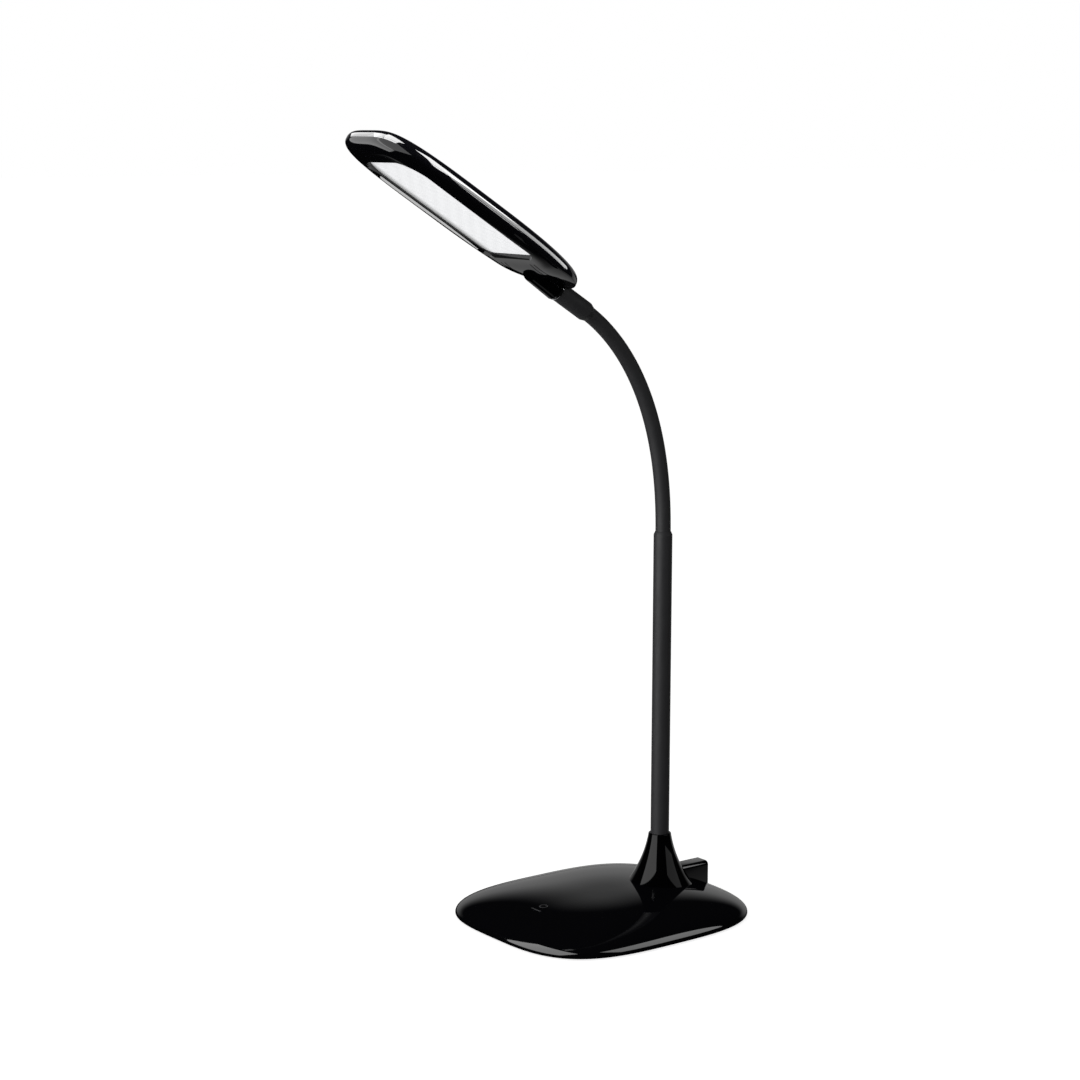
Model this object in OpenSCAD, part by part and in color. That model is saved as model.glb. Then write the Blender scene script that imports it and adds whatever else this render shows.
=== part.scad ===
// Gooseneck LED desk lamp: weighted touch base, rigid post, flexible neck and flat light head.
// Origin: centre of the base on the desk. +Z up, -Y towards the user, +X to the user's right.
// The neck bends in one plane at rest. It is cut into short links that turn on ball-shaped ends.

/* [Base] */
// Width of the base across X
base_w = 145; // [135:1:160]
// Length of the base along Y
base_l = 165; // [155:1:180]
// Height of the base at the top of its dome
base_h = 14.2; // [13.6:0.1:15.5]
// Height of the widest line of the base
rim_z = 1.9; // [1.6:0.1:2.4]
// Height of the lower lip of the base shell above the desk
lip_z = 0.5; // [0.4:0.1:0.8]
// How far the rim rounds in under its widest line
rim_tuck = 1.3; // [0.8:0.1:1.5]
// Squareness of the front half of the base outline
base_sq_front = 3.27; // [2.6:0.01:3.6]
// Squareness of the rear half of the base outline
base_sq_rear = 3.1; // [2.6:0.01:3.6]
// Squareness of the dome from side to side
dome_sq = 3; // [2.8:0.1:3.6]
// Wall of the base shell
shell_t = 2.3; // [2:0.1:2.6]
// Thickness of the non-slip pad
pad_t = 0.9; // [0.7:0.1:1.2]
// Thickness of the bottom plate
plate_t = 2; // [1.6:0.1:2.4]
// Thickness of the steel ballast
ballast_t = 4.8; // [4:0.1:5]
// Size of the ballast outline as a share of the base outline
ballast_share = 0.78; // [0.7:0.01:0.8]

/* [Post] */
// Distance of the post's axis from the rear edge of the base
post_in = 37.6; // [34:0.1:42]
// Height of the top of the post above the desk
post_top = 231.7; // [180:1:280]
// Outer diameter of the post
post_d = 11.4; // [10.4:0.1:12.4]
// Bore of the post
post_bore = 8.1; // [7.6:0.1:8.4]
// Height of the trumpet collar's top above the desk
collar_top = 43.5; // [38:0.5:50]
// Radius of the collar at its top
collar_top_r = 6.9; // [6.6:0.1:7.6]
// Radius of the collar where it meets the dome
collar_foot_r = 20.8; // [18:0.1:22]
// Height at which the foot radius is measured
collar_foot_z = 11.2; // [9:0.1:12]
// Radius of the collar's hollow curve
collar_curve_r = 70; // [60:1:90]
// Wall of the collar
collar_t = 1.6; // [1.2:0.1:2]

/* [Neck] */
// Flexible length of the neck
neck_len = 154.6; // [120:1:180]
// Total bend of the neck at rest, degrees
neck_bend = 58; // [40:1:75]
// Share of the bend that grows evenly along the neck; the rest grows with its square
neck_even = 0.51; // [0.3:0.01:1]
// Outer diameter of the neck's sleeve
neck_d = 9.3; // [8.6:0.1:9.8]
// Wall of the sleeve
sleeve_t = 1.3; // [1.1:0.05:1.5]
// Wall of the steel coil inside the sleeve
coil_t = 1.3; // [1:0.05:1.5]
// Diameter of the lamp lead inside the neck
lead_d = 2.4; // [2:0.1:2.6]
// Gap between a ball end and the socket over it
ball_gap = 0.25; // [0.2:0.05:0.4]

/* [Ferrule and ring] */
// Diameter of the ferrule at the head end of the neck
ferrule_d = 11.6; // [11:0.1:12.2]
// Length of the ferrule
ferrule_l = 24; // [20:0.5:30]
// Length of the ferrule's taper down to the neck
ferrule_taper = 3; // [2:0.5:4]
// Diameter of the bright ring
ring_d = 12.4; // [12.2:0.1:13]
// Length of the bright ring
ring_l = 2; // [1.5:0.1:2.5]

/* [Head] */
// Length of the light head
head_l = 163.4; // [150:1:180]
// Width of the light head
head_w = 66.6; // [62:0.1:74]
// Thickness of the head from its top to the flat of its underside
head_t = 11.05; // [10.5:0.05:12]
// Depth of the seam between the top cover and the lower frame
seam_d = 5.2; // [4.8:0.1:5.6]
// Squareness of the front half of the head outline
head_sq_front = 3.9; // [3:0.1:4.4]
// Squareness of the rear half of the head outline
head_sq_rear = 2.46; // [2.2:0.01:3]
// How far the socket's face lies inside the rear end of the head
socket_in = 6.1; // [5:0.1:9]
// Depth of the socket's axis below the top of the head
socket_d = 9.8; // [9.4:0.1:10.4]
// Wall of the head shells
head_wall = 1.6; // [1.3:0.1:2]
// Radius of the top edge of the head
top_edge_r = 4.6; // [3.5:0.1:5]
// Width of the rounding from the side of the head to the flat of its underside
low_edge_w = 11.5; // [8:0.1:13]
// Straight height of the side under the seam, before that rounding
low_land = 0.6; // [0.3:0.1:1]
// How far the underside swells behind the light opening
swell = 1.6; // [1:0.1:3]
// How far the underside sweeps up towards the rear end
rear_rise = 4.6; // [3:0.1:4.8]

/* [Light opening] */
// Half width of the light opening
window_hw = 24.5; // [22:0.1:25.5]
// Front edge of the opening, from the head's centre
window_front = 63.3; // [58:0.1:66]
// Rear edge of the opening, behind the head's centre
window_rear = 39.3; // [35:0.1:42]
// Depth of the opening's wall above the diffuser
window_depth = 2.9; // [2.4:0.1:3.2]
// Draft of the opening's wall, degrees
window_draft = 9; // [4:1:12]
// Thickness of the diffuser
diffuser_t = 1.5; // [1.2:0.1:1.8]
// Rows of light-emitting diodes along the head
led_rows = 9; // [6:1:10]
// Columns of light-emitting diodes across the head
led_cols = 4; // [3:1:4]

/* [Inlet] */
// Half width of the inlet housing behind the collar
inlet_hw = 6; // [5.8:0.1:6.6]
// Height of the inlet housing above the desk
inlet_top = 20.4; // [19.8:0.1:21]
// How far the inlet's rear face lies inside the rear edge of the base
inlet_in = 2.8; // [2.6:0.1:4]
// Diameter of the plug hole
plug_d = 6.6; // [6.2:0.1:7]

/* [Hidden] */
LINKS = 8;

$fn = 48;
fit = 0.05;          // running and seating clearance on a radius
eps = 0.01;          // overlap of a cut past a face
ring_n = 72;         // points round an outline
black = "#141416";
soft_black = "#333436";
steel = "#b9bcc0";
post_y = base_l / 2 - post_in;
socket_face = head_l / 2 - socket_in;

// ---- outlines -------------------------------------------------------------------------

function pow_s(v, e) = sign(v) * pow(abs(v), e);

// Point of a squared oval: half width a, half length b, squareness nf ahead (-s side) and nr behind
function oval(t, a, b, nf, nr) =
    let (n = sin(t) < 0 ? nf : nr)
    [a * pow_s(cos(t), 2 / n), b * pow_s(sin(t), 2 / n)];

// Outward normal of the same oval
function oval_n(t, a, b, nf, nr) =
    let (n = sin(t) < 0 ? nf : nr,
         p = oval(t, a, b, nf, nr),
         g = [pow_s(p[0] / a, n - 1) / a, pow_s(p[1] / b, n - 1) / b])
    g / norm(g);

// The oval moved in by a distance
function oval_ring(a, b, nf, nr, inset) =
    [for (j = [0:ring_n - 1])
        let (t = 360 * (j + 0.5) / ring_n)
        oval(t, a, b, nf, nr) - inset * oval_n(t, a, b, nf, nr)];

function lift(ring, z) = [for (p = ring) [p[0], p[1], z]];
function scaled(ring, k) = [for (p = ring) p * k];

// Solid through rings of points, first ring lowest, each ring counter-clockwise from above
module loft(rings) {
    n = len(rings[0]);
    m = len(rings);
    polyhedron(
        points = [for (r = rings) for (p = r) p],
        faces = concat(
            [[for (j = [0:n - 1]) j]],
            [for (i = [0:m - 2]) for (j = [0:n - 1])
                let (k = (j + 1) % n)
                [i * n + j, (i + 1) * n + j, (i + 1) * n + k, i * n + k]],
            [[for (j = [n - 1:-1:0]) (m - 1) * n + j]]),
        convexity = 6);
}

// ---- base -----------------------------------------------------------------------------

function base_ring(inset) =
    oval_ring(base_w / 2, base_l / 2, base_sq_front, base_sq_rear, inset);

// Height of the dome over its rim at a share s of the outline
function dome_rise(s, h) = h * sqrt(max(0, 1 - pow(s, dome_sq)));

// Share of the outline on which a point lies
function base_share(x, y) =
    let (n = y < 0 ? base_sq_front : base_sq_rear)
    pow(pow(abs(x) / (base_w / 2), n) + pow(abs(y) / (base_l / 2), n), 1 / n);

function dome_z(x, y) = rim_z + dome_rise(base_share(x, y), base_h - rim_z);

dome_steps = [84, 77, 69, 60, 50, 40, 30, 20, 10, 4];
tuck_steps = [90, 60, 30];

// Rings of a dome over the outline moved in by inset, h high above the rim
function dome_rings(inset, h) =
    [for (u = dome_steps) lift(scaled(base_ring(inset), pow(sin(u), 2 / dome_sq)), rim_z + h * cos(u))];

module dome_solid() {
    loft(concat(
        [for (u = tuck_steps)
            lift(base_ring(rim_tuck * (1 - cos(u))), rim_z - (rim_z - lip_z) * sin(u))],
        [lift(base_ring(0), rim_z)],
        dome_rings(0, base_h - rim_z)));
}

module dome_void() {
    loft(concat(
        [lift(base_ring(shell_t), lip_z - 1), lift(base_ring(shell_t), rim_z)],
        dome_rings(shell_t, base_h - rim_z - shell_t)));
}

plate_z = pad_t;
plate_top = plate_z + plate_t;
ballast_top = plate_top + ballast_t;
pad_inset = shell_t + 3.5;
plate_gap = 0.5;      // between the bottom plate and the shell's wall
ballast_gap = 0.5;    // between the ballast and what stands in its cut-outs

// Flat slab with the base outline moved in
module base_slab(inset, z, t) {
    translate([0, 0, z]) linear_extrude(t) polygon(base_ring(inset));
}

screw_at = [for (sx = [-1, 1]) for (sy = [-1, 1]) [sx * base_w * 0.317, sy * base_l * 0.34]];
screw_r = 1.5;
screw_head_r = 3;
screw_head_t = 1.4;
screw_l = 5.2;
boss_r = 4.2;

// The window in the ballast for the control board
board_y = -40;
board_size = [44, 30, 1.6];
board_lift = 1.5;
board_z = plate_top + board_lift;
board_gap = 2;

module foot_pad() {
    color("#202022") difference() {
        base_slab(pad_inset, 0, pad_t);
        for (p = screw_at) translate([p[0], p[1], -1]) cylinder(r = screw_head_r + 1, h = pad_t + 2);
    }
}

standoff_at = [for (sx = [-1, 1]) for (sy = [-1, 1])
    [sx * (board_size[0] / 2 - 3), board_y + sy * (board_size[1] / 2 - 3)]];

module base_plate() {
    color("#1c1c1e") {
        difference() {
            base_slab(shell_t + plate_gap, plate_z, plate_t);
            for (p = screw_at) translate([p[0], p[1], 0]) {
                cylinder(r = screw_r + 0.2, h = plate_top + 1);
                cylinder(r = screw_head_r + 0.2, h = plate_z + screw_head_t);
            }
        }
        for (p = standoff_at) translate([p[0], p[1], plate_top - eps])
            cylinder(r = 2.5, h = board_lift + eps);
        translate([-jack_w / 2, jack_y0, plate_top - eps])
            cube([jack_w, jack_l, jack_z - plate_top + eps]);
    }
}

module plate_screws() {
    color(steel) for (p = screw_at) translate([p[0], p[1], plate_z]) {
        difference() {
            cylinder(r = screw_head_r, h = screw_head_t - fit);
            for (a = [0, 90]) rotate(a) translate([-2, -0.4, -eps]) cube([4, 0.8, 0.7]);
        }
        cylinder(r = screw_r, h = screw_head_t + screw_l);
    }
}

nut_hole_r = 14;
supply_x = 3;         // the supply lead runs beside the lamp lead
lead_room = 0.3;      // round a lead in a hole or notch
lead_slot_w = 2 * (supply_x + lead_d / 2 + 0.6);

module ballast_weight() {
    color("#6e7073") difference() {
        translate([0, 0, plate_top]) linear_extrude(ballast_t)
            polygon(scaled(base_ring(0), ballast_share));
        for (p = screw_at) translate([p[0], p[1], 0]) cylinder(r = boss_r + ballast_gap, h = base_h);
        translate([0, post_y, 0]) cylinder(r = nut_hole_r, h = base_h);
        translate([-board_size[0] / 2 - board_gap, board_y - board_size[1] / 2 - board_gap, 0])
            cube([board_size[0] + 2 * board_gap, board_size[1] + 2 * board_gap, base_h]);
        translate([-lead_slot_w / 2, board_y, 0]) cube([lead_slot_w, post_y - board_y, base_h]);
        translate([-inlet_hw - ballast_gap, post_y, 0])
            cube([2 * (inlet_hw + ballast_gap), base_l, base_h]);
    }
}

// Power jack under the inlet housing
jack_w = 9;
jack_l = 13.6;
jack_h = 11;
inlet_wall = 1.3;
inlet_y = base_l / 2 - inlet_in;
jack_y1 = inlet_y - inlet_wall - fit;
jack_y0 = jack_y1 - jack_l;
jack_z = inlet_top - inlet_wall - jack_h - 0.4;
plug_z = jack_z + 6;
inlet_y0 = post_y + post_d;
inlet_edge_r = 2.5;

// Outline of the inlet housing seen from behind, with rounded upper edges
module inlet_outline(grow, z0) {
    hw = inlet_hw + grow;
    top = inlet_top + grow;
    r = inlet_edge_r + grow;
    union() {
        translate([-hw, z0]) square([2 * hw, top - r - z0]);
        translate([-hw + r, z0]) square([2 * (hw - r), top - z0]);
        for (s = [-1, 1]) translate([s * (hw - r), top - r]) circle(r = r);
    }
}

// The housing's form along Y
module inlet_block(grow, y0, y1, z0) {
    translate([0, y1, 0]) rotate([90, 0, 0]) linear_extrude(y1 - y0) inlet_outline(grow, z0);
}

seat_r = 9;
seat_z = dome_z(0, post_y) + 0.6;
shell_boss_z = ballast_top + 1.9;
shell_boss_r = 13;

module base_shell() {
    color(black) difference() {
        union() {
            difference() {
                dome_solid();
                dome_void();
            }
            translate([0, post_y, shell_boss_z]) {
                cylinder(r = shell_boss_r, h = dome_z(0, post_y + shell_boss_r) - 0.2 - shell_boss_z);
                cylinder(r = seat_r, h = seat_z - shell_boss_z);
            }
            for (p = screw_at) translate([p[0], p[1], plate_top + fit])
                cylinder(r = boss_r, h = dome_z(p[0], p[1]) - 0.6 * shell_t - plate_top);
            inlet_block(0, inlet_y0, inlet_y, rim_z + 1);
        }
        inlet_block(-inlet_wall, inlet_y0 + inlet_wall, inlet_y - inlet_wall, lip_z - 1);
        translate([0, inlet_y + 1, plug_z]) rotate([90, 0, 0]) cylinder(d = plug_d, h = 2 + inlet_wall);
        translate([0, post_y, 0]) {
            cylinder(d = nipple_d + 2 * fit, h = seat_z + 1);
            translate([0, 0, washer_z - washer_t]) cylinder(r = washer_r + ballast_gap, h = 2 * washer_t);
            collar_body(fit);
        }
        for (p = screw_at) translate([p[0], p[1], 0])
            cylinder(r = screw_r + fit, h = plate_z + screw_head_t + screw_l + 0.5);
        translate([supply_x - lead_d / 2 - lead_room, inlet_y0 - 1, 0])
            cube([lead_d + 2 * lead_room, inlet_wall + 2, lead_z + lead_d / 2 + lead_room]);
    }
}

module control_board() {
    color("#1f5a3c") difference() {
        translate([-board_size[0] / 2, board_y - board_size[1] / 2, board_z]) cube(board_size);
        for (p = standoff_at) translate([p[0], p[1], 0]) cylinder(r = 1.1, h = base_h);
    }
}

board_top = board_z + board_size[2];
touch_at = [0, -46];

// Parts on the board: [corner on the board], [size]
chips = [
    [[8, -4], [6, 5, 1.6]],     // touch controller
    [[-16, 2], [7, 7, 2.6]],    // inductor
    [[-18, -10], [4, 8, 2]]];   // connector of the lamp lead
capacitor = [[12, 7], 6, 2.4];  // place, diameter, height

module board_parts() {
    color("#2a2a2c") translate([0, board_y, board_top]) {
        for (c = chips) translate(c[0]) cube(c[1]);
        translate(capacitor[0]) cylinder(d = capacitor[1], h = capacitor[2]);
    }
}

// Touch spring: turns of wire from the board up to the underside of the dome
spring_r = 3.4;
spring_wire = 0.8;
spring_turns = 3;
spring_sides = 8;
spring_steps = 14;
spring_gap = 0.1;
spring_share = base_share(touch_at[0], touch_at[1] - spring_r);
spring_top = rim_z + dome_rise(spring_share, base_h - rim_z - shell_t) - spring_gap;

module touch_spring() {
    h = spring_top - board_top - spring_wire;
    steps = spring_turns * spring_steps;
    color(steel) translate([touch_at[0], touch_at[1], board_top + spring_wire / 2])
        loft([for (i = [0:steps])
            let (a = 360 * i / spring_steps, z = h * i / steps)
            [for (j = [0:spring_sides - 1])
                let (b = -360 * j / spring_sides, r = spring_r + spring_wire / 2 * cos(b))
                [r * cos(a), r * sin(a), z + spring_wire / 2 * sin(b)]]]);
}

module power_jack() {
    color("#0f0f10") difference() {
        translate([-jack_w / 2, jack_y0, jack_z]) cube([jack_w, jack_l, jack_h]);
        translate([0, jack_y1 + 1, plug_z]) rotate([90, 0, 0]) cylinder(d = jack_bore, h = jack_depth + 1);
    }
}

jack_bore = 6.2;
jack_depth = 9.5;
contact_d = 2;

module jack_contact() {
    color(steel) translate([0, jack_y1 - 1.5, plug_z]) rotate([90, 0, 0])
        cylinder(d = contact_d, h = jack_depth - 1.5);
}

// ---- post -----------------------------------------------------------------------------

nipple_d = 8;
nipple_bore = 4.6;
nipple_in_post = 18;
washer_t = 1;
washer_r = 11;
nut_t = 2.4;
nut_r = 7.5;
nipple_end = 0.4;
washer_z = shell_boss_z - washer_t;
nut_z = washer_z - nut_t;
post_chamfer = 2;

// Centre of the collar's hollow curve, to the right of its profile
collar_c = let (dx = collar_foot_r - collar_top_r, dz = collar_foot_z - collar_top,
                d = norm([dx, dz]), h = sqrt(collar_curve_r * collar_curve_r - d * d / 4))
    [(collar_top_r + collar_foot_r) / 2 - dz / d * h, (collar_top + collar_foot_z) / 2 + dx / d * h];
collar_low = collar_foot_z - 2.5;
collar_reach = collar_foot_r + 3;
collar_cap = 4;      // height of the collar's thick top, which grips the post
collar_sink = 0.8;   // depth of the collar's foot in the dome

// Section between the axis and the hollow curve moved out by grow
module collar_profile(grow, top) {
    difference() {
        translate([0, collar_low]) square([collar_reach, top - collar_low]);
        translate(collar_c) circle(r = collar_curve_r - grow, $fn = 200);
    }
}

// The collar's wall, grown all round by grow; its foot is cut on a slope and sinks into the dome
module collar_body(grow) {
    y1 = collar_foot_r;
    z0 = dome_z(0, post_y - y1) - collar_sink - grow;
    z1 = dome_z(0, post_y + y1) - collar_sink - grow;
    difference() {
        rotate_extrude($fn = 96) difference() {
            collar_profile(grow, collar_top);
            collar_profile(-collar_t - grow, collar_top - collar_cap);
        }
        translate([0, 0, (z0 + z1) / 2]) rotate([atan2(z1 - z0, 2 * y1), 0, 0])
            translate([0, 0, -collar_top / 2]) cube([2 * collar_top, 2 * collar_top, collar_top], center = true);
    }
}

module neck_collar() {
    color(black) translate([0, post_y, 0]) difference() {
        collar_body(0);
        translate([0, 0, collar_low]) cylinder(d = post_d + 2 * fit, h = collar_top);
        translate([0, -post_y, 0]) inlet_block(fit, inlet_y0 - 1, inlet_y, 0);
    }
}

module lamp_nipple() {
    color(steel) translate([0, post_y, nut_z - nipple_end]) difference() {
        cylinder(d = nipple_d, h = seat_z + nipple_in_post - nut_z + nipple_end);
        translate([0, 0, -1]) cylinder(d = nipple_bore, h = seat_z + nipple_in_post);
    }
}

module spreader_washer() {
    color(steel) translate([0, post_y, washer_z]) difference() {
        cylinder(r = washer_r, h = washer_t);
        translate([0, 0, -1]) cylinder(d = nipple_d + 2 * fit, h = washer_t + 2);
    }
}

module nipple_nut() {
    color(steel) translate([0, post_y, nut_z]) difference() {
        cylinder(r = nut_r, h = nut_t, $fn = 6);
        translate([0, 0, -1]) cylinder(d = nipple_d + 2 * fit, h = nut_t + 2);
    }
}

module post_tube() {
    color(soft_black) translate([0, post_y, 0]) difference() {
        union() {
            translate([0, 0, seat_z]) cylinder(d = post_d, h = post_top - post_chamfer - seat_z);
            translate([0, 0, post_top - post_chamfer])
                cylinder(d1 = post_d, d2 = neck_d, h = post_chamfer);
        }
        translate([0, 0, seat_z - 1]) cylinder(d = post_bore, h = post_top);
    }
}

// The lamp lead runs from the board along the slot in the ballast, and up the post
lead_z = plate_top + lead_d / 2 + 0.2;
elbow_r = 3.4;
lead_y0 = board_y + board_size[1] / 2 + 0.4;

module lamp_lead() {
    color("#e8e8e8") {
        translate([0, post_y - elbow_r, lead_z]) rotate([90, 0, 0])
            cylinder(d = lead_d, h = post_y - elbow_r - lead_y0);
        translate([0, post_y - elbow_r, lead_z + elbow_r]) rotate([90, 0, 90]) rotate([0, 0, -90])
            rotate_extrude(angle = 90) translate([elbow_r, 0]) circle(d = lead_d);
        translate([0, post_y, lead_z + elbow_r])
            cylinder(d = lead_d, h = pivot(0)[1] - lead_gap - lead_z - elbow_r);
    }
}

// The supply lead runs from the jack down into the same slot, and forward to the board
module supply_lead() {
    y1 = jack_y0 - 2 * elbow_r - 1;
    color("#e8e8e8") translate([supply_x, 0, lead_z]) {
        translate([0, y1, 0]) rotate([90, 0, 0]) cylinder(d = lead_d, h = y1 - lead_y0);
        translate([0, y1, elbow_r]) rotate([90, 0, 90]) rotate([0, 0, -90])
            rotate_extrude(angle = 90) translate([elbow_r, 0]) circle(d = lead_d);
        translate([0, y1 + 2 * elbow_r, elbow_r]) rotate([90, 0, 90]) rotate([0, 0, 90])
            rotate_extrude(angle = 90) translate([elbow_r, 0]) circle(d = lead_d);
        translate([0, jack_y0 - fit, 2 * elbow_r]) rotate([90, 0, 0])
            cylinder(d = lead_d, h = 1 - fit);
    }
}

socket_l = 18;
socket_grip = 9;

module neck_socket() {
    color(steel) translate([0, post_y, post_top - socket_l]) difference() {
        cylinder(d = post_bore - 2 * fit, h = socket_l);
        translate([0, 0, -1]) cylinder(r = coil_r - coil_t, h = socket_l + 2);
        translate([0, 0, socket_l - socket_grip]) cylinder(r = coil_r + fit, h = socket_l);
    }
}

// ---- flexible neck --------------------------------------------------------------------

neck_r = neck_d / 2;
coil_r = neck_r - sleeve_t - fit;
ball_bore_h = 1.4;            // height of the coil's seat in a ball end
flare_r1 = coil_r * 0.74;     // the flare above it gives the lead room to swing
flare_r2 = coil_r * 1.04;
lead_gap = 0.8;
skirt_h = 2.3;
curve_steps = 90;
step_l = neck_len / curve_steps;

// Lean of the neck from the vertical at a share u of its length
function lean(u) = neck_bend * (neck_even * u + (1 - neck_even) * u * u);

// Points along the neck, [y, z]
function walk(i) =
    i == 0 ? [[post_y, post_top]]
    : let (w = walk(i - 1), a = lean((i - 0.5) / curve_steps), p = w[len(w) - 1])
      concat(w, [p + step_l * [-sin(a), cos(a)]]);
neck_pts = walk(curve_steps);

neck_tip = neck_pts[curve_steps];

// Pivots lie one link apart. The first stands straight over the post and the last in line with the head
pivot_n = LINKS + 1;
stub_l = neck_len / pivot_n / 2;
function pivot(k) =
    k == 0 ? [post_y, post_top + stub_l]
    : k == LINKS ? neck_tip - stub_l * [-sin(neck_bend), cos(neck_bend)]
    : neck_pts[round(curve_steps * (k + 0.5) / pivot_n)];

module at_pivot(k, toward) {
    p = pivot(k);
    d = toward - p;
    translate([0, p[0], p[1]]) rotate([atan2(-d[0], d[1]), 0, 0]) children();
}

// Sleeve over one stretch: socket below at z = 0, ball above at z = l
module sleeve_form(l, socket, ball) {
    difference() {
        union() {
            translate([0, 0, socket ? skirt_h : 0]) cylinder(r = neck_r, h = l - (socket ? skirt_h : 0));
            if (ball) translate([0, 0, l]) sphere(r = neck_r);
        }
        if (socket) sphere(r = neck_r + ball_gap);
        translate([0, 0, -1]) cylinder(r = coil_r + fit, h = l + 1 + (ball ? ball_bore_h : 1));
        if (ball) translate([0, 0, l + ball_bore_h - eps])
            cylinder(r1 = flare_r1, r2 = flare_r2, h = neck_r - ball_bore_h + 2 * eps);
    }
}

// Steel coil inside one stretch, wound as round turns side by side
coil_wire = 1.5;
module coil_form(z0, z1) {
    n = floor((z1 - z0) / coil_wire);
    pitch = (z1 - z0) / n;
    translate([0, 0, z0]) difference() {
        union() {
            cylinder(r = coil_r - coil_wire * 0.3, h = z1 - z0);
            for (i = [0:n - 1]) translate([0, 0, (i + 0.5) * pitch])
                rotate_extrude() translate([coil_r - coil_wire * 0.45, 0]) circle(r = coil_wire * 0.45);
        }
        translate([0, 0, -1]) cylinder(r = coil_r - coil_t, h = z1 - z0 + 2);
    }
}

coil_low = neck_r + ball_gap + 0.1;

module sleeve(i) {
    l = norm(pivot(i) - pivot(i - 1));
    color(soft_black) at_pivot(i - 1, pivot(i)) sleeve_form(l, true, true);
}

module coil(i) {
    l = norm(pivot(i) - pivot(i - 1));
    color(steel) at_pivot(i - 1, pivot(i)) coil_form(coil_low, l + ball_bore_h - fit);
}

module lead(i) {
    l = norm(pivot(i) - pivot(i - 1));
    color("#e8e8e8") at_pivot(i - 1, pivot(i)) translate([0, 0, lead_gap])
        cylinder(d = lead_d, h = l - 2 * lead_gap);
}

module sleeve_root() {
    color(soft_black) translate([0, post_y, post_top]) sleeve_form(stub_l, false, true);
}

module coil_root() {
    color(steel) translate([0, post_y, post_top])
        coil_form(-socket_grip + fit, stub_l + ball_bore_h - fit);
}

// ---- head end of the neck ---------------------------------------------------------------

coil_in_ferrule = 10;

module sleeve_end() {
    color(soft_black) at_pivot(LINKS, neck_tip) sleeve_form(stub_l, true, false);
}

module coil_end() {
    color(steel) at_pivot(LINKS, neck_tip) coil_form(coil_low, stub_l + coil_in_ferrule);
}

// Frame of the head: x across, y forward along the head, z down out of the light face
head_tilt = 90 - neck_bend;
module at_head() {
    translate([0, neck_tip[0], neck_tip[1]]) rotate([180 - head_tilt, 0, 0])
        translate([0, socket_face + ring_l + ferrule_l, -socket_d]) children();
}

// Frame on the socket's axis: origin at the socket's face, z forward into the head
module on_axis() {
    at_head() translate([0, -socket_face, socket_d]) rotate([-90, 0, 0]) children();
}

spigot_r = 4.2;
spigot_in_head = 14;
spigot_back = ring_l + ferrule_l - coil_in_ferrule + 2.5;
lead_run = spigot_in_head + 3;

// The lead turns up out of the socket to the light board
module lead_end() {
    back = ring_l + ferrule_l + stub_l - lead_gap;
    color("#e8e8e8") {
        on_axis() translate([0, 0, -back]) cylinder(d = lead_d, h = back + lead_run);
        at_head() translate([0, -socket_face + lead_run, socket_d - elbow_r]) {
            rotate([90, 0, 90]) rotate_extrude(angle = 90) translate([elbow_r, 0]) circle(d = lead_d);
            translate([0, elbow_r, tray_d + tray_t + 0.2 - socket_d + elbow_r])
                cylinder(d = lead_d, h = socket_d - elbow_r - tray_d - tray_t - 0.2);
        }
    }
}

module head_ferrule() {
    color(soft_black) on_axis() translate([0, 0, -ring_l - ferrule_l]) difference() {
        union() {
            cylinder(d1 = neck_d, d2 = ferrule_d, h = ferrule_taper);
            translate([0, 0, ferrule_taper]) cylinder(d = ferrule_d, h = ferrule_l - ferrule_taper);
        }
        translate([0, 0, -1]) cylinder(r = coil_r + fit, h = ferrule_l + 2);
        translate([0, 0, ferrule_l + ring_l - spigot_back - fit])
            cylinder(r = spigot_r + fit, h = ferrule_l);
    }
}

module bright_ring() {
    color("#e6e8ea") on_axis() translate([0, 0, -ring_l]) difference() {
        rotate_extrude() {
            translate([0, 0]) square([ring_d / 2 - 0.3, ring_l]);
            translate([0, 0.3]) square([ring_d / 2, ring_l - 0.6]);
            for (z = [0.3, ring_l - 0.3]) translate([ring_d / 2 - 0.3, z]) circle(r = 0.3);
        }
        translate([0, 0, -1]) cylinder(r = spigot_r + fit, h = ring_l + 2);
    }
}

module neck_spigot() {
    color(steel) on_axis() translate([0, 0, -spigot_back]) difference() {
        cylinder(r = spigot_r, h = spigot_back + spigot_in_head);
        translate([0, 0, -1])
            cylinder(r = coil_r + fit, h = coil_in_ferrule - ring_l - ferrule_l + spigot_back + 1 + 2 * fit);
        cylinder(r = coil_r - coil_t, h = spigot_back + spigot_in_head + 1);
        for (y = spigot_screw_at) translate([0, 0, spigot_back + y]) rotate([-90, 0, 0])
            cylinder(r = pin_r + fit, h = 2 * spigot_r);
    }
}

spigot_screw_at = [4.5, 10];
spigot_screw_r = 2.2;
spigot_screw_t = 1.2;
pin_r = 1.2;

module spigot_screws() {
    color(steel) for (y = spigot_screw_at)
        at_head() translate([0, -socket_face + y, socket_d - boss_face_r - spigot_screw_t]) {
            cylinder(r = spigot_screw_r, h = spigot_screw_t);
            cylinder(r = pin_r, h = spigot_screw_t + boss_face_r - lead_d / 2 - 0.9);
        }
}

// ---- head -------------------------------------------------------------------------------

// Outline of the head: the front half (y > 0) is squarer than the rear half
function head_ring(inset) =
    oval_ring(head_w / 2, head_l / 2, head_sq_rear, head_sq_front, inset);

edge_steps = [0, 20, 40, 60, 78, 90];
low_steps = [0, 14, 28, 42, 56, 70, 90];

// Rings of the top edge, from the highest ring down to the seam
function top_rings(wall) =
    [for (u = edge_steps) lift(head_ring(wall + (top_edge_r - wall) * (1 - sin(u))),
        wall + (top_edge_r - wall) * (1 - cos(u)))];

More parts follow.
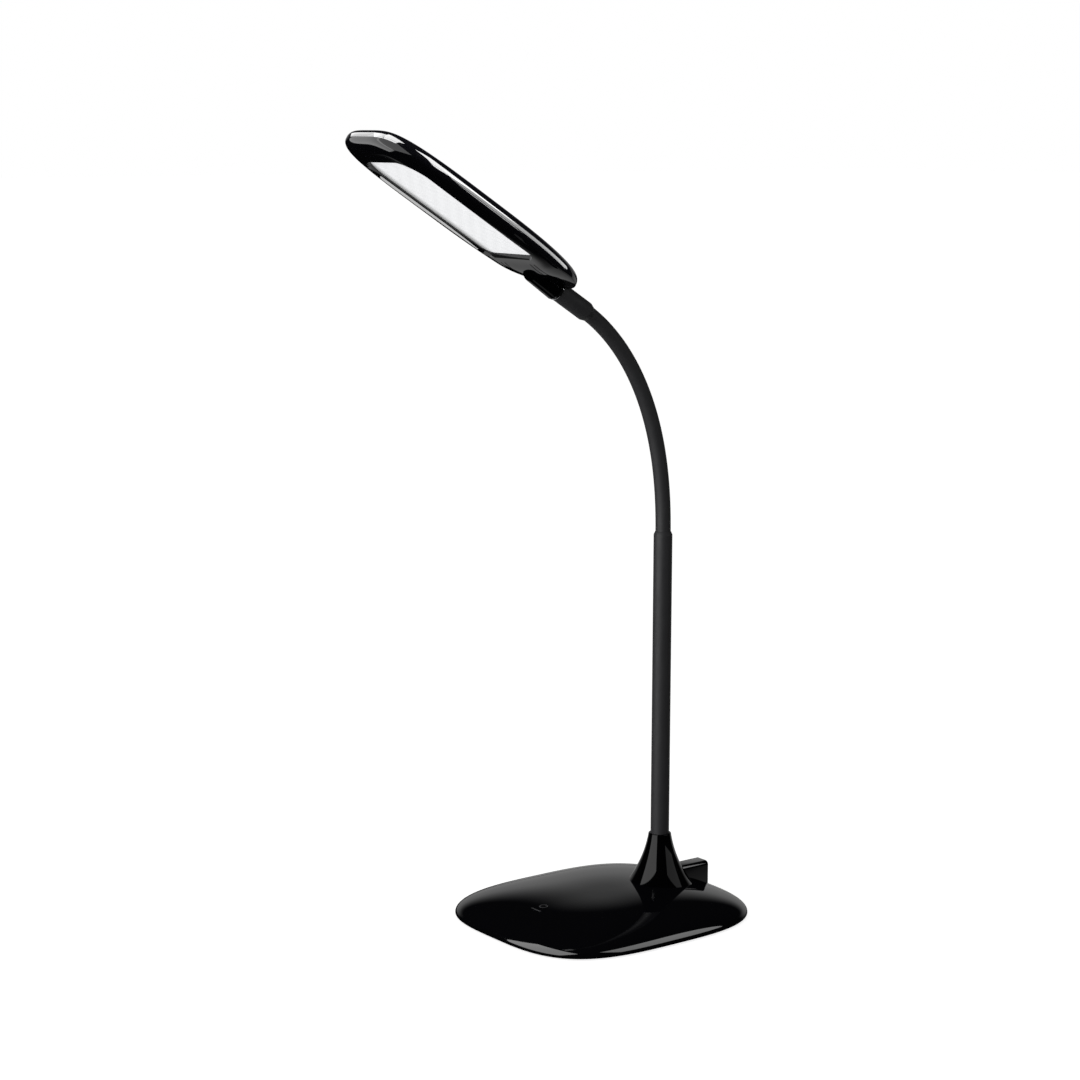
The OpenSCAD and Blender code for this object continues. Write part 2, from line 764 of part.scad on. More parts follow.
// Behind the light opening the underside swells in the middle and sweeps up to the rear end
swell_from = window_rear + 2;
swell_run = 18;
rise_from = window_rear + 8;
function ease(t) = let (k = min(1, max(0, t))) k * k * (3 - 2 * k);
function swell_at(p) = swell * ease((-p[1] - swell_from) / swell_run)
    * ease((head_w / 2 - abs(p[0])) / (head_w / 2 - 4));
function rise_at(p) = rear_rise * ease((-p[1] - rise_from) / (head_l / 2 - rise_from));

// Ring on the underside, at a share of the way down from the side's edge to the flat
function low_ring(ring, wall, share, swell_share) =
    let (drop = head_t - wall - seam_d - low_land)
    [for (p = ring) [p[0], p[1],
        seam_d + low_land + share * (drop - rise_at(p)) + swell_share * swell_at(p)]];

floor_steps = [0.86, 0.72, 0.58, 0.44, 0.3, 0.16, 0.04];

// Rings of the lower shell from the seam to the middle of the underside, moved in by a wall
function low_rings(wall, start) =
    let (w = low_edge_w - wall)
    concat(
        [lift(head_ring(wall), start)],
        [for (u = low_steps) low_ring(head_ring(wall + w * (1 - cos(u))), wall, sin(u), 0.6 * sin(u))],
        [for (k = floor_steps)
            low_ring(scaled(head_ring(low_edge_w), k), wall, 1, min(1, 0.6 + (1 - k) * 2.5))]);

module cover_form(wall) {
    loft(concat(top_rings(wall), [lift(head_ring(wall), seam_d)]));
}

module frame_form() {
    loft(low_rings(0, seam_d));
}

// Room inside the head ends ahead of the solid rear end that carries the neck
rear_solid = head_l / 2 - socket_face + 1.2;
module room() {
    intersection() {
        children();
        translate([-head_w, -head_l / 2 + rear_solid, -1]) cube([2 * head_w, head_l, head_t + swell + 5]);
    }
}

// Clearance round the ring and ferrule behind the socket's face
notch_r = ring_d / 2 + 0.35;
module neck_notch() {
    translate([0, -socket_face, socket_d]) rotate([90, 0, 0])
        cylinder(r = notch_r, h = head_l / 2 - socket_face + 3);
}

// Outline of the light opening, grown by g
corner_l = 19;
corner_w = 12.5;
rear_corner = 8;
function window_pts(g) = concat(
    [for (t = [0:7.5:90]) [window_hw - corner_w + (corner_w + g) * cos(t),
        window_front - corner_l + (corner_l + g) * sin(t)]],
    [for (t = [90:7.5:180]) [corner_w - window_hw + (corner_w + g) * cos(t),
        window_front - corner_l + (corner_l + g) * sin(t)]],
    [for (t = [180:15:270]) [rear_corner - window_hw + (rear_corner + g) * cos(t),
        rear_corner - window_rear + (rear_corner + g) * sin(t)]],
    [for (t = [270:15:360]) [window_hw - rear_corner + (rear_corner + g) * cos(t),
        rear_corner - window_rear + (rear_corner + g) * sin(t)]]);

module window_slab(g, d0, d1) {
    translate([0, 0, d0]) linear_extrude(d1 - d0) polygon(window_pts(g));
}

// The opening itself: its wall leans out by the draft from the diffuser to the rim
module window_cut() {
    lean = window_depth * tan(window_draft);
    loft([
        lift(window_pts(-lean), 0),
        lift(window_pts(-lean), glass_d),
        lift(window_pts(lean * (head_t + 2 * swell - glass_d) / window_depth - lean), head_t + 2 * swell)]);
}

boss_face_r = 6.6;
boss_nose_r = 5.8;
boss_l = 24.5;
window_wall = 1.5;
glass_d = head_t - window_depth;
slot_at = [12, 15.7];
slot_w = 0.8;
slot_l = 14;
slot_from = 5;

module socket_boss() {
    translate([0, -socket_face, socket_d]) rotate([-90, 0, 0]) {
        cylinder(r1 = boss_face_r, r2 = boss_nose_r, h = boss_l - boss_nose_r);
        translate([0, 0, boss_l - boss_nose_r]) sphere(r = boss_nose_r);
    }
}

module head_cover() {
    color(black) at_head() difference() {
        cover_form(0);
        room() cover_form_void();
        translate([0, -socket_face, socket_d]) rotate([90, 0, 0])
            translate([0, 0, -boss_l])
                cylinder(r = boss_face_r + 0.3, h = boss_l + head_l / 2 - socket_face + 3);
    }
}

module cover_form_void() {
    loft(concat(top_rings(head_wall), [lift(head_ring(head_wall), seam_d + 1)]));
}

tray_hw = 31;
tray_front = 68;
tray_back = socket_face - spigot_screw_at[1] - spigot_screw_r - 3;
board_mid = (window_front - window_rear) / 2;
tray_t = 1;
tray_d = 2.6;
led_board_t = 1;
led_board_d = tray_d + tray_t;
led_d = led_board_d + led_board_t;
led_size = [2.8, 3.5, 0.8];
led_step = [2 * window_hw / (led_cols + 0.6), (window_front + window_rear) / (led_rows + 1.5)];
tray_head_r = 1.7;
tray_head_t = 0.8;
tray_post_r = 2;
tray_post_at = [for (sx = [-1, 1]) each [
    [sx * (window_hw + window_wall + tray_post_r + 0.2), board_mid + 8],
    [sx * (window_hw - 4), -window_rear - window_wall - tray_post_r - 1.6]]];
screw_bite = 4.5;

module head_frame() {
    color(black) at_head() difference() {
        union() {
            difference() {
                frame_form();
                room() frame_void();
            }
            window_slab(window_wall, glass_d, head_t - 0.3);
            socket_boss();
            for (p = tray_post_at) translate([p[0], p[1], led_board_d + fit])
                cylinder(r = tray_post_r, h = head_t - 1 - led_board_d);
        }
        window_cut();
        neck_notch();
        translate([0, -socket_face - 1, socket_d]) rotate([-90, 0, 0])
            cylinder(r = spigot_r + fit, h = spigot_in_head + fit + 1);
        translate([0, -socket_face, socket_d]) rotate([-90, 0, 0])
            cylinder(r = lead_d / 2 + lead_room, h = lead_run + elbow_r);
        translate([0, -socket_face + lead_run + elbow_r, 0])
            cylinder(r = lead_d / 2 + lead_room, h = socket_d - 1);
        translate([0, -socket_face + lead_run, socket_d - elbow_r]) rotate([90, 0, 90])
            rotate_extrude(angle = 90) translate([elbow_r, 0]) circle(r = lead_d / 2 + lead_room);
        for (y = spigot_screw_at) translate([0, -socket_face + y, 0])
            cylinder(r = pin_r + fit, h = socket_d);
        for (x = slot_at) for (s = [-1, 1])
            translate([s * x - slot_w / 2, -window_rear - slot_from - slot_l, seam_d])
                cube([slot_w, slot_l, head_t]);
        for (p = tray_post_at) translate([p[0], p[1], 0])
            cylinder(r = pin_r + fit, h = tray_d + tray_t + screw_bite + 0.5);
    }
}

module frame_void() {
    loft(low_rings(head_wall, seam_d - 1));
}

// Flat part with rounded corners inside the head
module inner_slab(w, l, mid, d, t) {
    translate([0, 0, d]) linear_extrude(t) intersection() {
        translate([0, mid]) square([w, l], center = true);
        polygon(head_ring(head_wall + 1.2));
    }
}

module led_tray() {
    color("#c9cccf") at_head() difference() {
        inner_slab(2 * tray_hw, tray_front + tray_back, (tray_front - tray_back) / 2, tray_d, tray_t);
        for (p = tray_post_at) translate([p[0], p[1], 0]) cylinder(r = pin_r + 0.2, h = head_t);
    }
}

module led_board() {
    color("#f4f4f0") at_head() difference() {
        inner_slab(2 * window_hw - 4, window_front + window_rear, board_mid, led_board_d, led_board_t);
        for (p = tray_post_at) translate([p[0], p[1], 0]) cylinder(r = tray_post_r + 0.5, h = head_t);
    }
}

module leds() {
    color("#f2e9b0") at_head() for (i = [0:led_rows - 1]) for (j = [0:led_cols - 1])
        translate([(j - (led_cols - 1) / 2) * led_step[0] - led_size[0] / 2,
                   board_mid + (i - (led_rows - 1) / 2) * led_step[1] - led_size[1] / 2, led_d])
            cube(led_size);
}

module diffuser() {
    color("#fbfbf8") at_head() window_slab(window_wall - 0.3, glass_d - diffuser_t, glass_d);
}

module tray_screws() {
    color(steel) at_head() for (p = tray_post_at) translate([p[0], p[1], tray_d - tray_head_t]) {
        cylinder(r = tray_head_r, h = tray_head_t);
        cylinder(r = pin_r, h = tray_head_t + tray_t + screw_bite);
    }
}

// ---- nodes ------------------------------------------------------------------------------

foot_pad();
base_plate();
plate_screws();
ballast_weight();
base_shell();
control_board();
board_parts();
touch_spring();
power_jack();
jack_contact();
neck_collar();
lamp_nipple();
spreader_washer();
nipple_nut();
post_tube();
lamp_lead();
supply_lead();
neck_socket();
sleeve_root();
coil_root();
for (i = [1:LINKS]) {
    sleeve(i);
    coil(i);
    lead(i);
}
sleeve_end();
coil_end();
lead_end();
head_ferrule();
bright_ring();
neck_spigot();
spigot_screws();
head_cover();
head_frame();
led_tray();
led_board();
leds();
diffuser();
tray_screws();
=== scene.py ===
# Gooseneck LED desk lamp: skins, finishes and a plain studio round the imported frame
import math

import bmesh
import bpy
from mathutils import Matrix, Quaternion, Vector


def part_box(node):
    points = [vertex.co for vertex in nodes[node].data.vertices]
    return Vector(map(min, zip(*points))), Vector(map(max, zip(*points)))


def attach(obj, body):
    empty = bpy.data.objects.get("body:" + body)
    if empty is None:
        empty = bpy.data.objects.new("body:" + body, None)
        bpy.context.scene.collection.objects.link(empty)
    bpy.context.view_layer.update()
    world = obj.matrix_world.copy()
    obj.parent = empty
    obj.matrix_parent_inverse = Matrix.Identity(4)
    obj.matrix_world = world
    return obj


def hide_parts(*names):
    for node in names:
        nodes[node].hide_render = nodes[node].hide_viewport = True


mm = 0.001

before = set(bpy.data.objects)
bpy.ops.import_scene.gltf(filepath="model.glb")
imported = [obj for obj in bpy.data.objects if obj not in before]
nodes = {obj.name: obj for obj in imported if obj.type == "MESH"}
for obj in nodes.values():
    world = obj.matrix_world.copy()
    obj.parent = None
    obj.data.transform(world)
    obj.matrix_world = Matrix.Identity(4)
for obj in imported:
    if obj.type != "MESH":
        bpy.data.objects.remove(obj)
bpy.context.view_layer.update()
bpy.ops.object.select_all(action="DESELECT")
print("frame loaded:", len(nodes), "nodes")


# camera

view = {
    "place": (1.1378, -0.9053, 0.4721),
    "azimuth": 53.01,      # round from the front of the lamp
    "elevation": 9.44,
    "roll": 0.165,
    "lens": 82.72,         # on a 36 mm sensor
}

bpy.ops.object.camera_add(location=view["place"])
camera = bpy.context.object
camera.name = "camera"
camera.data.lens = view["lens"]
camera.data.sensor_width = 36
camera.data.clip_end = 100
azimuth, elevation = math.radians(view["azimuth"]), math.radians(view["elevation"])
toCamera = Vector((math.sin(azimuth) * math.cos(elevation),
                   -math.cos(azimuth) * math.cos(elevation), math.sin(elevation)))
camera.rotation_mode = "QUATERNION"
camera.rotation_quaternion = ((-toCamera).to_track_quat("-Z", "Y")
                              @ Quaternion((0, 0, 1), math.radians(view["roll"])))
bpy.context.scene.camera = camera
print("camera set")


# colours and nodes

def fromHex(colour):
    parts = [int(colour[i:i + 2], 16) / 255 for i in (1, 3, 5)]
    return [p / 12.92 if p <= 0.04045 else ((p + 0.055) / 1.055) ** 2.4 for p in parts] + [1.0]


def addNode(tree, kind, values=None, links=None):
    # values: node settings or socket values, by name or number; links: socket to the output it takes
    node = tree.nodes.new(kind)
    for key, value in (values or {}).items():
        if isinstance(key, int) or key in node.inputs:
            node.inputs[key].default_value = value
        else:
            setattr(node, key, value)
    for key, output in (links or {}).items():
        tree.links.new(output, node.inputs[key])
    return node


def maths(tree, operation, *terms):
    # each term is a number or the output that gives it
    numbers = {k: term for k, term in enumerate(terms) if isinstance(term, (int, float))}
    links = {k: term for k, term in enumerate(terms) if k not in numbers}
    return addNode(tree, "ShaderNodeMath", {"operation": operation, **numbers}, links).outputs[0]


def fade(tree, value, start, end, low=0.0, high=1.0):
    # a soft step from low at start to high at end
    return addNode(tree, "ShaderNodeMapRange",
                   {"interpolation_type": "SMOOTHSTEP", "From Min": start, "From Max": end,
                    "To Min": low, "To Max": high}, {"Value": value}).outputs["Result"]


def byRay(tree, bounced, mirrored, seen, output):
    # one shader for diffuse light, one for what gloss mirrors and one for the camera
    rays = addNode(tree, "ShaderNodeLightPath").outputs
    glossy = maths(tree, "MAXIMUM", rays["Is Glossy Ray"], rays["Is Transmission Ray"])
    first = addNode(tree, "ShaderNodeMixShader",
                    links={0: glossy, 1: bounced.outputs[0], 2: mirrored.outputs[0]})
    second = addNode(tree, "ShaderNodeMixShader",
                     links={0: rays["Is Camera Ray"], 1: first.outputs[0], 2: seen.outputs[0]})
    addNode(tree, output, links={"Surface": second.outputs[0]})


def newMaterial(name, **settings):
    material = bpy.data.materials.new(name)
    material.use_nodes = True
    shader = material.node_tree.nodes["Principled BSDF"]
    for key, value in settings.items():
        shader.inputs[key.replace("_", " ")].default_value = value
    return material, material.node_tree, shader


def placeOf(tree, turn=(0, 0, 0), shift=(0, 0, 0)):
    # object coordinates in metres, turned to a piece's own axes
    place = addNode(tree, "ShaderNodeTexCoord")
    return addNode(tree, "ShaderNodeMapping", {"Rotation": turn, "Location": shift},
                   {"Vector": place.outputs["Object"]}).outputs["Vector"]


def finishMaterial(tree, shader, grain, depth, haze=(0.0, 0.0), hazeSize=12, detail=2.0, place=None):
    # fine grain in the bump, and a slow change of gloss over the surface
    place = place or placeOf(tree)
    noise = addNode(tree, "ShaderNodeTexNoise",
                    {"Scale": 1 / (grain * mm), "Detail": detail, "Roughness": 0.6}, {"Vector": place})
    bump = addNode(tree, "ShaderNodeBump", {"Strength": 1.0, "Distance": depth * mm},
                   {"Height": noise.outputs["Fac"]})
    tree.links.new(bump.outputs["Normal"], shader.inputs["Normal"])
    if haze[1] > 0:
        cloud = addNode(tree, "ShaderNodeTexNoise",
                        {"Scale": 1 / (hazeSize * mm), "Detail": 4.0, "Roughness": 0.55}, {"Vector": place})
        spread = addNode(tree, "ShaderNodeMapRange",
                         {"From Min": 0.35, "From Max": 0.7, "To Min": haze[0], "To Max": haze[1]},
                         {"Value": cloud.outputs["Fac"]})
        tree.links.new(spread.outputs["Result"], shader.inputs["Roughness"])
    return noise


# materials of the outside

def makeGlossAbs():
    # ABS from a polished mould: deep black, sharp reflections with a faint orange peel
    material, tree, shader = newMaterial("glossAbs", Base_Color=fromHex("#030304"), Roughness=0.04, IOR=1.52)
    finishMaterial(tree, shader, grain=3.2, depth=0.0008, haze=(0.03, 0.055), hazeSize=30, detail=0.0)
    return material


def makeSoftTouch():
    # soft-touch polyurethane over steel: dark grey, no sharp reflection, a powdery grain
    material, tree, shader = newMaterial("softTouchCoat", Base_Color=fromHex("#2a2a2c"), Roughness=0.5,
                                         IOR=1.46)
    finishMaterial(tree, shader, grain=0.35, depth=0.012, haze=(0.46, 0.58), hazeSize=8)
    return material


def makeSleeveRubber():
    # extruded PVC sleeve: a little softer in its shine than the coat of the post
    material, tree, shader = newMaterial("sleeveRubber", Base_Color=fromHex("#29292b"), Roughness=0.55,
                                         IOR=1.5)
    finishMaterial(tree, shader, grain=0.5, depth=0.014, haze=(0.5, 0.62), hazeSize=10)
    return material


def makeChrome():
    # polished chrome plate: mirror bright, with the finest polishing lines
    material, tree, shader = newMaterial("polishedChrome", Base_Color=fromHex("#e3e5e8"), Metallic=1.0,
                                         Roughness=0.07)
    finishMaterial(tree, shader, grain=0.6, depth=0.0008, haze=(0.05, 0.1), hazeSize=2)
    return material


opal = {
    "glow": 0.63,          # light that the sheet gives by itself
    "edgeShadeGlow": 0.16,      # share of it left at the two long sides: painted shade of the recess walls on the sheet, partly the real fall of the diode light at its edges
    "halfWidth": 23.9, "edgeShadeWidth": 7.5,
    "dotStep": (10.65, 9.68),
    "dotDrop": 0.05,       # how much darker the sheet is between the diodes
    "cloud": 0.03, "cloudSize": 6,
    "frostSize": 0.3, "frostDepth": 0.006,
}


def makeOpal(turn, shift):
    # opal acrylic with a frosted face, lit a little from behind: the diodes show as faint soft spots, and the
    # glow is painted darker along the two long sides as shade of the recess walls
    material, tree, shader = newMaterial("opalAcrylic", Base_Color=fromHex("#a9a9a8"), Roughness=0.42,
                                         IOR=1.49, Emission_Color=fromHex("#fbfcff"))
    place = placeOf(tree, turn, shift)
    parts = addNode(tree, "ShaderNodeSeparateXYZ", links={"Vector": place}).outputs
    waves = [maths(tree, "COSINE", maths(tree, "MULTIPLY", parts[axis], 2 * math.pi / (step * mm)))
             for axis, step in zip("XY", opal["dotStep"])]
    dots = maths(tree, "MULTIPLY", *waves)
    cloud = addNode(tree, "ShaderNodeTexNoise", {"Scale": 1 / (opal["cloudSize"] * mm), "Detail": 2.0},
                    {"Vector": place}).outputs["Fac"]
    level = maths(tree, "MULTIPLY_ADD", dots, opal["dotDrop"] * opal["glow"], opal["glow"])
    strength = maths(tree, "MULTIPLY_ADD", cloud, opal["cloud"], level)
    # painted shade: the glow dims towards the two long sides for the shade the recess walls cast on the
    # sheet, partly the real fall of the diode light there
    across = maths(tree, "ABSOLUTE", parts["X"])
    inner = fade(tree, across, opal["halfWidth"] * mm, (opal["halfWidth"] - opal["edgeShadeWidth"]) * mm,
                 opal["edgeShadeGlow"])
    tree.links.new(maths(tree, "MULTIPLY", strength, inner), shader.inputs["Emission Strength"])
    bump = addNode(tree, "ShaderNodeTexNoise", {"Scale": 1 / (opal["frostSize"] * mm), "Detail": 2.0},
                   {"Vector": place})
    frost = addNode(tree, "ShaderNodeBump", {"Distance": opal["frostDepth"] * mm},
                    {"Height": bump.outputs["Fac"]})
    tree.links.new(frost.outputs["Normal"], shader.inputs["Normal"])
    return material


def makePrint():
    # pad-printed ink: dark grey, matte, a little uneven in its cover
    material, tree, shader = newMaterial("padPrintInk", Base_Color=fromHex("#3a3a3c"), Roughness=0.6, IOR=1.5)
    noise = finishMaterial(tree, shader, grain=0.25, depth=0.003)
    ramp = addNode(tree, "ShaderNodeValToRGB", links={"Fac": noise.outputs["Fac"]})
    ramp.color_ramp.elements[0].color = fromHex("#303032")
    ramp.color_ramp.elements[0].position = 0.3
    ramp.color_ramp.elements[1].color = fromHex("#444446")
    ramp.color_ramp.elements[1].position = 0.6
    tree.links.new(ramp.outputs["Color"], shader.inputs["Base Color"])
    return material


# finishes of the inside and underside: colour, metallic, roughness, size and depth of the grain in mm

innerFinishes = {
    "rubberFoam": dict(hex="#19191a", metallic=0, rough=0.85, grain=0.7, depth=0.05),      # EVA foam pad
    "texturedAbs": dict(hex="#141416", metallic=0, rough=0.45, grain=0.6, depth=0.02),     # eroded mould
    "zincSteel": dict(hex="#b4b7bb", metallic=1, rough=0.32, grain=1.2, depth=0.004),      # zinc-plated steel
    "springSteel": dict(hex="#8f9296", metallic=1, rough=0.38, grain=0.5, depth=0.004),    # drawn wire
    "castIron": dict(hex="#4a4b4d", metallic=1, rough=0.6, grain=1.5, depth=0.03),         # raw ballast plate
    "solderMask": dict(hex="#1d5236", metallic=0, rough=0.3, grain=0.9, depth=0.004),      # green board
    "whiteMask": dict(hex="#ecece8", metallic=0, rough=0.35, grain=0.9, depth=0.004),      # white light board
    "chipEpoxy": dict(hex="#232325", metallic=0, rough=0.5, grain=0.3, depth=0.008),       # moulded epoxy
    "goldPlate": dict(hex="#d9b25c", metallic=1, rough=0.25, grain=0.4, depth=0.002),      # plated contact
    "whitePvc": dict(hex="#dcdcda", metallic=0, rough=0.4, grain=0.8, depth=0.006),        # cable sheath
    "millAluminium": dict(hex="#c4c7ca", metallic=1, rough=0.35, grain=0.5, depth=0.004),  # rolled sheet
    "phosphorGel": dict(hex="#ead98a", metallic=0, rough=0.35, grain=0.3, depth=0.004),    # diode faces
}

finishOfNode = {
    "foot_pad": "rubberFoam", "base_plate": "texturedAbs", "power_jack": "texturedAbs",
    "ballast_weight": "castIron", "control_board": "solderMask", "board_parts": "chipEpoxy",
    "jack_contact": "goldPlate", "lamp_lead": "whitePvc", "lead_end": "whitePvc",
    "led_tray": "millAluminium", "led_board": "whiteMask", "leds": "phosphorGel",
    "plate_screws": "zincSteel", "lamp_nipple": "zincSteel", "spreader_washer": "zincSteel",
    "nipple_nut": "zincSteel", "neck_socket": "zincSteel", "neck_spigot": "zincSteel",
    "spigot_screws": "zincSteel", "tray_screws": "zincSteel", "touch_spring": "springSteel",
    "coil_root": "springSteel", "coil_end": "springSteel", "supply_lead": "whitePvc",
}


def makeInner(name, finish):
    material, tree, shader = newMaterial(name, Base_Color=fromHex(finish["hex"]),
                                         Metallic=finish["metallic"], Roughness=finish["rough"])
    finishMaterial(tree, shader, finish["grain"], finish["depth"],
                   haze=(finish["rough"] * 0.85, min(1, finish["rough"] * 1.15)), hazeSize=6)
    return material


glossAbs, softTouch, sleeveRubber = makeGlossAbs(), makeSoftTouch(), makeSleeveRubber()
chrome, printInk = makeChrome(), makePrint()
inner = {name: makeInner(name, finish) for name, finish in innerFinishes.items()}


def dress(piece, material):
    piece.data.materials.clear()
    piece.data.materials.append(material)


for name, node in nodes.items():
    finish = finishOfNode.get(name)
    if name.startswith("coil_"):
        finish = "springSteel"
    if name.startswith("lead_"):
        finish = "whitePvc"
    if finish:
        dress(node, inner[finish])
print("materials made:", len(bpy.data.materials))


# modelling helpers

def seat(piece, matrix=None):
    # the place goes into the mesh, and the object stays at the origin
    if matrix is not None:
        piece.matrix_world = matrix @ piece.matrix_world
    bpy.ops.object.select_all(action="DESELECT")
    piece.select_set(True)
    bpy.context.view_layer.objects.active = piece
    bpy.ops.object.transform_apply(location=True, rotation=True, scale=True)
    return piece


def tidyMesh(piece, merge=0.002):
    bpy.context.view_layer.objects.active = piece
    bpy.ops.object.mode_set(mode="EDIT")
    bpy.ops.mesh.select_all(action="SELECT")
    bpy.ops.mesh.remove_doubles(threshold=merge * mm)
    bpy.ops.mesh.normals_make_consistent(inside=False)
    bpy.ops.mesh.select_all(action="DESELECT")
    bpy.ops.object.mode_set(mode="OBJECT")


def smooth(piece, angle=30):
    bpy.ops.object.select_all(action="DESELECT")
    piece.select_set(True)
    bpy.context.view_layer.objects.active = piece
    bpy.ops.object.shade_smooth_by_angle(angle=math.radians(angle))


def ringStack(name, rings, closeFirst="fill", closeLast="fill"):
    # a circle is drawn out ring by ring, and each new ring is set on its outline
    count = len(rings[0])
    bpy.ops.mesh.primitive_circle_add(vertices=count, radius=1)
    piece = bpy.context.object
    piece.name = piece.data.name = name
    bpy.ops.object.mode_set(mode="EDIT")
    bpy.ops.mesh.select_mode(type="VERT")
    bpy.ops.mesh.select_all(action="SELECT")
    mesh = bmesh.from_edit_mesh(piece.data)
    mesh.verts.ensure_lookup_table()
    last = {}
    for k, point in enumerate(rings[0]):
        mesh.verts[k].co = point
        last[mesh.verts[k].index] = k
    firstRing = list(range(count))
    for ring in rings[1:]:
        bpy.ops.mesh.extrude_region_move()
        mesh = bmesh.from_edit_mesh(piece.data)
        mesh.verts.index_update()
        placed = {}
        for vert in [v for v in mesh.verts if v.select]:
            below = next(e.other_vert(vert) for e in vert.link_edges if not e.other_vert(vert).select)
            k = last[below.index]
            vert.co = ring[k]
            placed[vert.index] = k
        last = placed
    if closeLast == "fill":
        bpy.ops.mesh.edge_face_add()
    elif closeLast == "point":
        bpy.ops.mesh.merge(type="CENTER")
    if closeFirst:
        bpy.ops.mesh.select_all(action="DESELECT")
        mesh = bmesh.from_edit_mesh(piece.data)
        mesh.verts.ensure_lookup_table()
        for k in firstRing:
            mesh.verts[k].select = True
        mesh.select_flush(True)
        if closeFirst == "fill":
            bpy.ops.mesh.edge_face_add()
        else:
            bpy.ops.mesh.merge(type="CENTER")
    bpy.ops.object.mode_set(mode="OBJECT")
    tidyMesh(piece)
    return piece


def turned(name, profile, steps=128, matrix=None):
    # a profile of (radius, height) points in mm, spun round the Z axis
    bpy.ops.mesh.primitive_plane_add(size=1)
    piece = bpy.context.object
    piece.name = piece.data.name = name
    bpy.ops.object.mode_set(mode="EDIT")
    bpy.ops.mesh.select_all(action="SELECT")
    bpy.ops.mesh.delete(type="VERT")
    mesh = bmesh.from_edit_mesh(piece.data)
    points = [mesh.verts.new((r * mm, 0, z * mm)) for r, z in profile]
    for a, b in zip(points, points[1:] + points[:1]):
        mesh.edges.new((a, b))
    bmesh.update_edit_mesh(piece.data)
    bpy.ops.mesh.select_all(action="SELECT")
    bpy.ops.mesh.spin(steps=steps, angle=2 * math.pi, center=(0, 0, 0), axis=(0, 0, 1))
    bpy.ops.object.mode_set(mode="OBJECT")
    tidyMesh(piece)
    return seat(piece, matrix)


def cut(piece, tool, operation="DIFFERENCE"):
    join = piece.modifiers.new(operation.lower(), "BOOLEAN")
    join.operation = operation
    join.solver = "EXACT"
    join.object = tool
    bpy.ops.object.select_all(action="DESELECT")
    piece.select_set(True)
    bpy.context.view_layer.objects.active = piece
    bpy.ops.object.modifier_apply(modifier=join.name)
    bpy.data.objects.remove(tool)


def ride(piece, body, material, slot, *replaced):
    dress(piece, material)
    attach(piece, body)
    if replaced:
        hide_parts(*replaced)


def power(value, exponent):
    return math.copysign(abs(value) ** exponent, value)


def squareOval(halfWidth, halfLength, frontSquare, rearSquare, inset, count, rearIsPlus=True):
    # points of a squared oval moved in by inset; front is -Y unless rearIsPlus is False
    points = []
    for k in range(count):
        t = 2 * math.pi * (k + 0.5) / count
        plus = math.sin(t) >= 0
        n = rearSquare if plus == rearIsPlus else frontSquare
        x = halfWidth * power(math.cos(t), 2 / n)
        y = halfLength * power(math.sin(t), 2 / n)
        nx = power(x / halfWidth, n - 1) / halfWidth
        ny = power(y / halfLength, n - 1) / halfLength
        size = math.hypot(nx, ny)
        points.append((x - inset * nx / size, y - inset * ny / size))
    return points


def lifted(points, z, share=1.0):
    return [Vector((x * share, y * share, z)) * mm for x, y in points]


def box(name, size, centre):
    bpy.ops.mesh.primitive_cube_add(size=1, location=[c * mm for c in centre])
    piece = bpy.context.object
    piece.name = name
    piece.scale = [s * mm for s in size]
    return seat(piece)


def rod(name, radius, length, centre, turn=(0, 0, 0), sides=64):
    bpy.ops.mesh.primitive_cylinder_add(radius=radius * mm, depth=length * mm, vertices=sides,
                                        location=[c * mm for c in centre], rotation=turn)
    piece = bpy.context.object
    piece.name = name
    return seat(piece)


# base shell: a low dome with a rounded rim, and the inlet housing behind the collar

base = {
    "width": 145, "length": 165, "height": 14.2,
    "rimHeight": 1.9, "lip": 0.5, "tuck": 1.3,
    "frontSquare": 3.27, "rearSquare": 3.1, "domeSquare": 3.0,
    "wall": 2.3, "points": 256, "domeRings": 44, "innerRings": 12,
}
inlet = {
    "halfWidth": 6, "top": 20.4, "front": 56.3, "rear": 79.7, "edge": 2.5,
    "wall": 1.3, "hole": 6.6, "holeHeight": 13.7,
    "foot": 5.5, "rearEdge": 0.35,
}


def baseOutline(inset):
    return squareOval(base["width"] / 2, base["length"] / 2, base["frontSquare"], base["rearSquare"],
                      inset, base["points"])


def domeHeight(x, y):
    n = base["frontSquare"] if y < 0 else base["rearSquare"]
    share = (abs(2 * x / base["width"]) ** n + abs(2 * y / base["length"]) ** n) ** (1 / n)
    rise = base["height"] - base["rimHeight"]
    return base["rimHeight"] + rise * math.sqrt(max(0, 1 - share ** base["domeSquare"]))


def domeRings(inset, rise, rings):
    # from the rim up to the middle
    outline = baseOutline(inset)
    made = []
    for k in range(1, rings + 1):
        u = math.radians(90 - 90 * k / (rings + 0.6))
        made.append(lifted(outline, base["rimHeight"] + rise * math.cos(u),
                           math.sin(u) ** (2 / base["domeSquare"])))
    return made


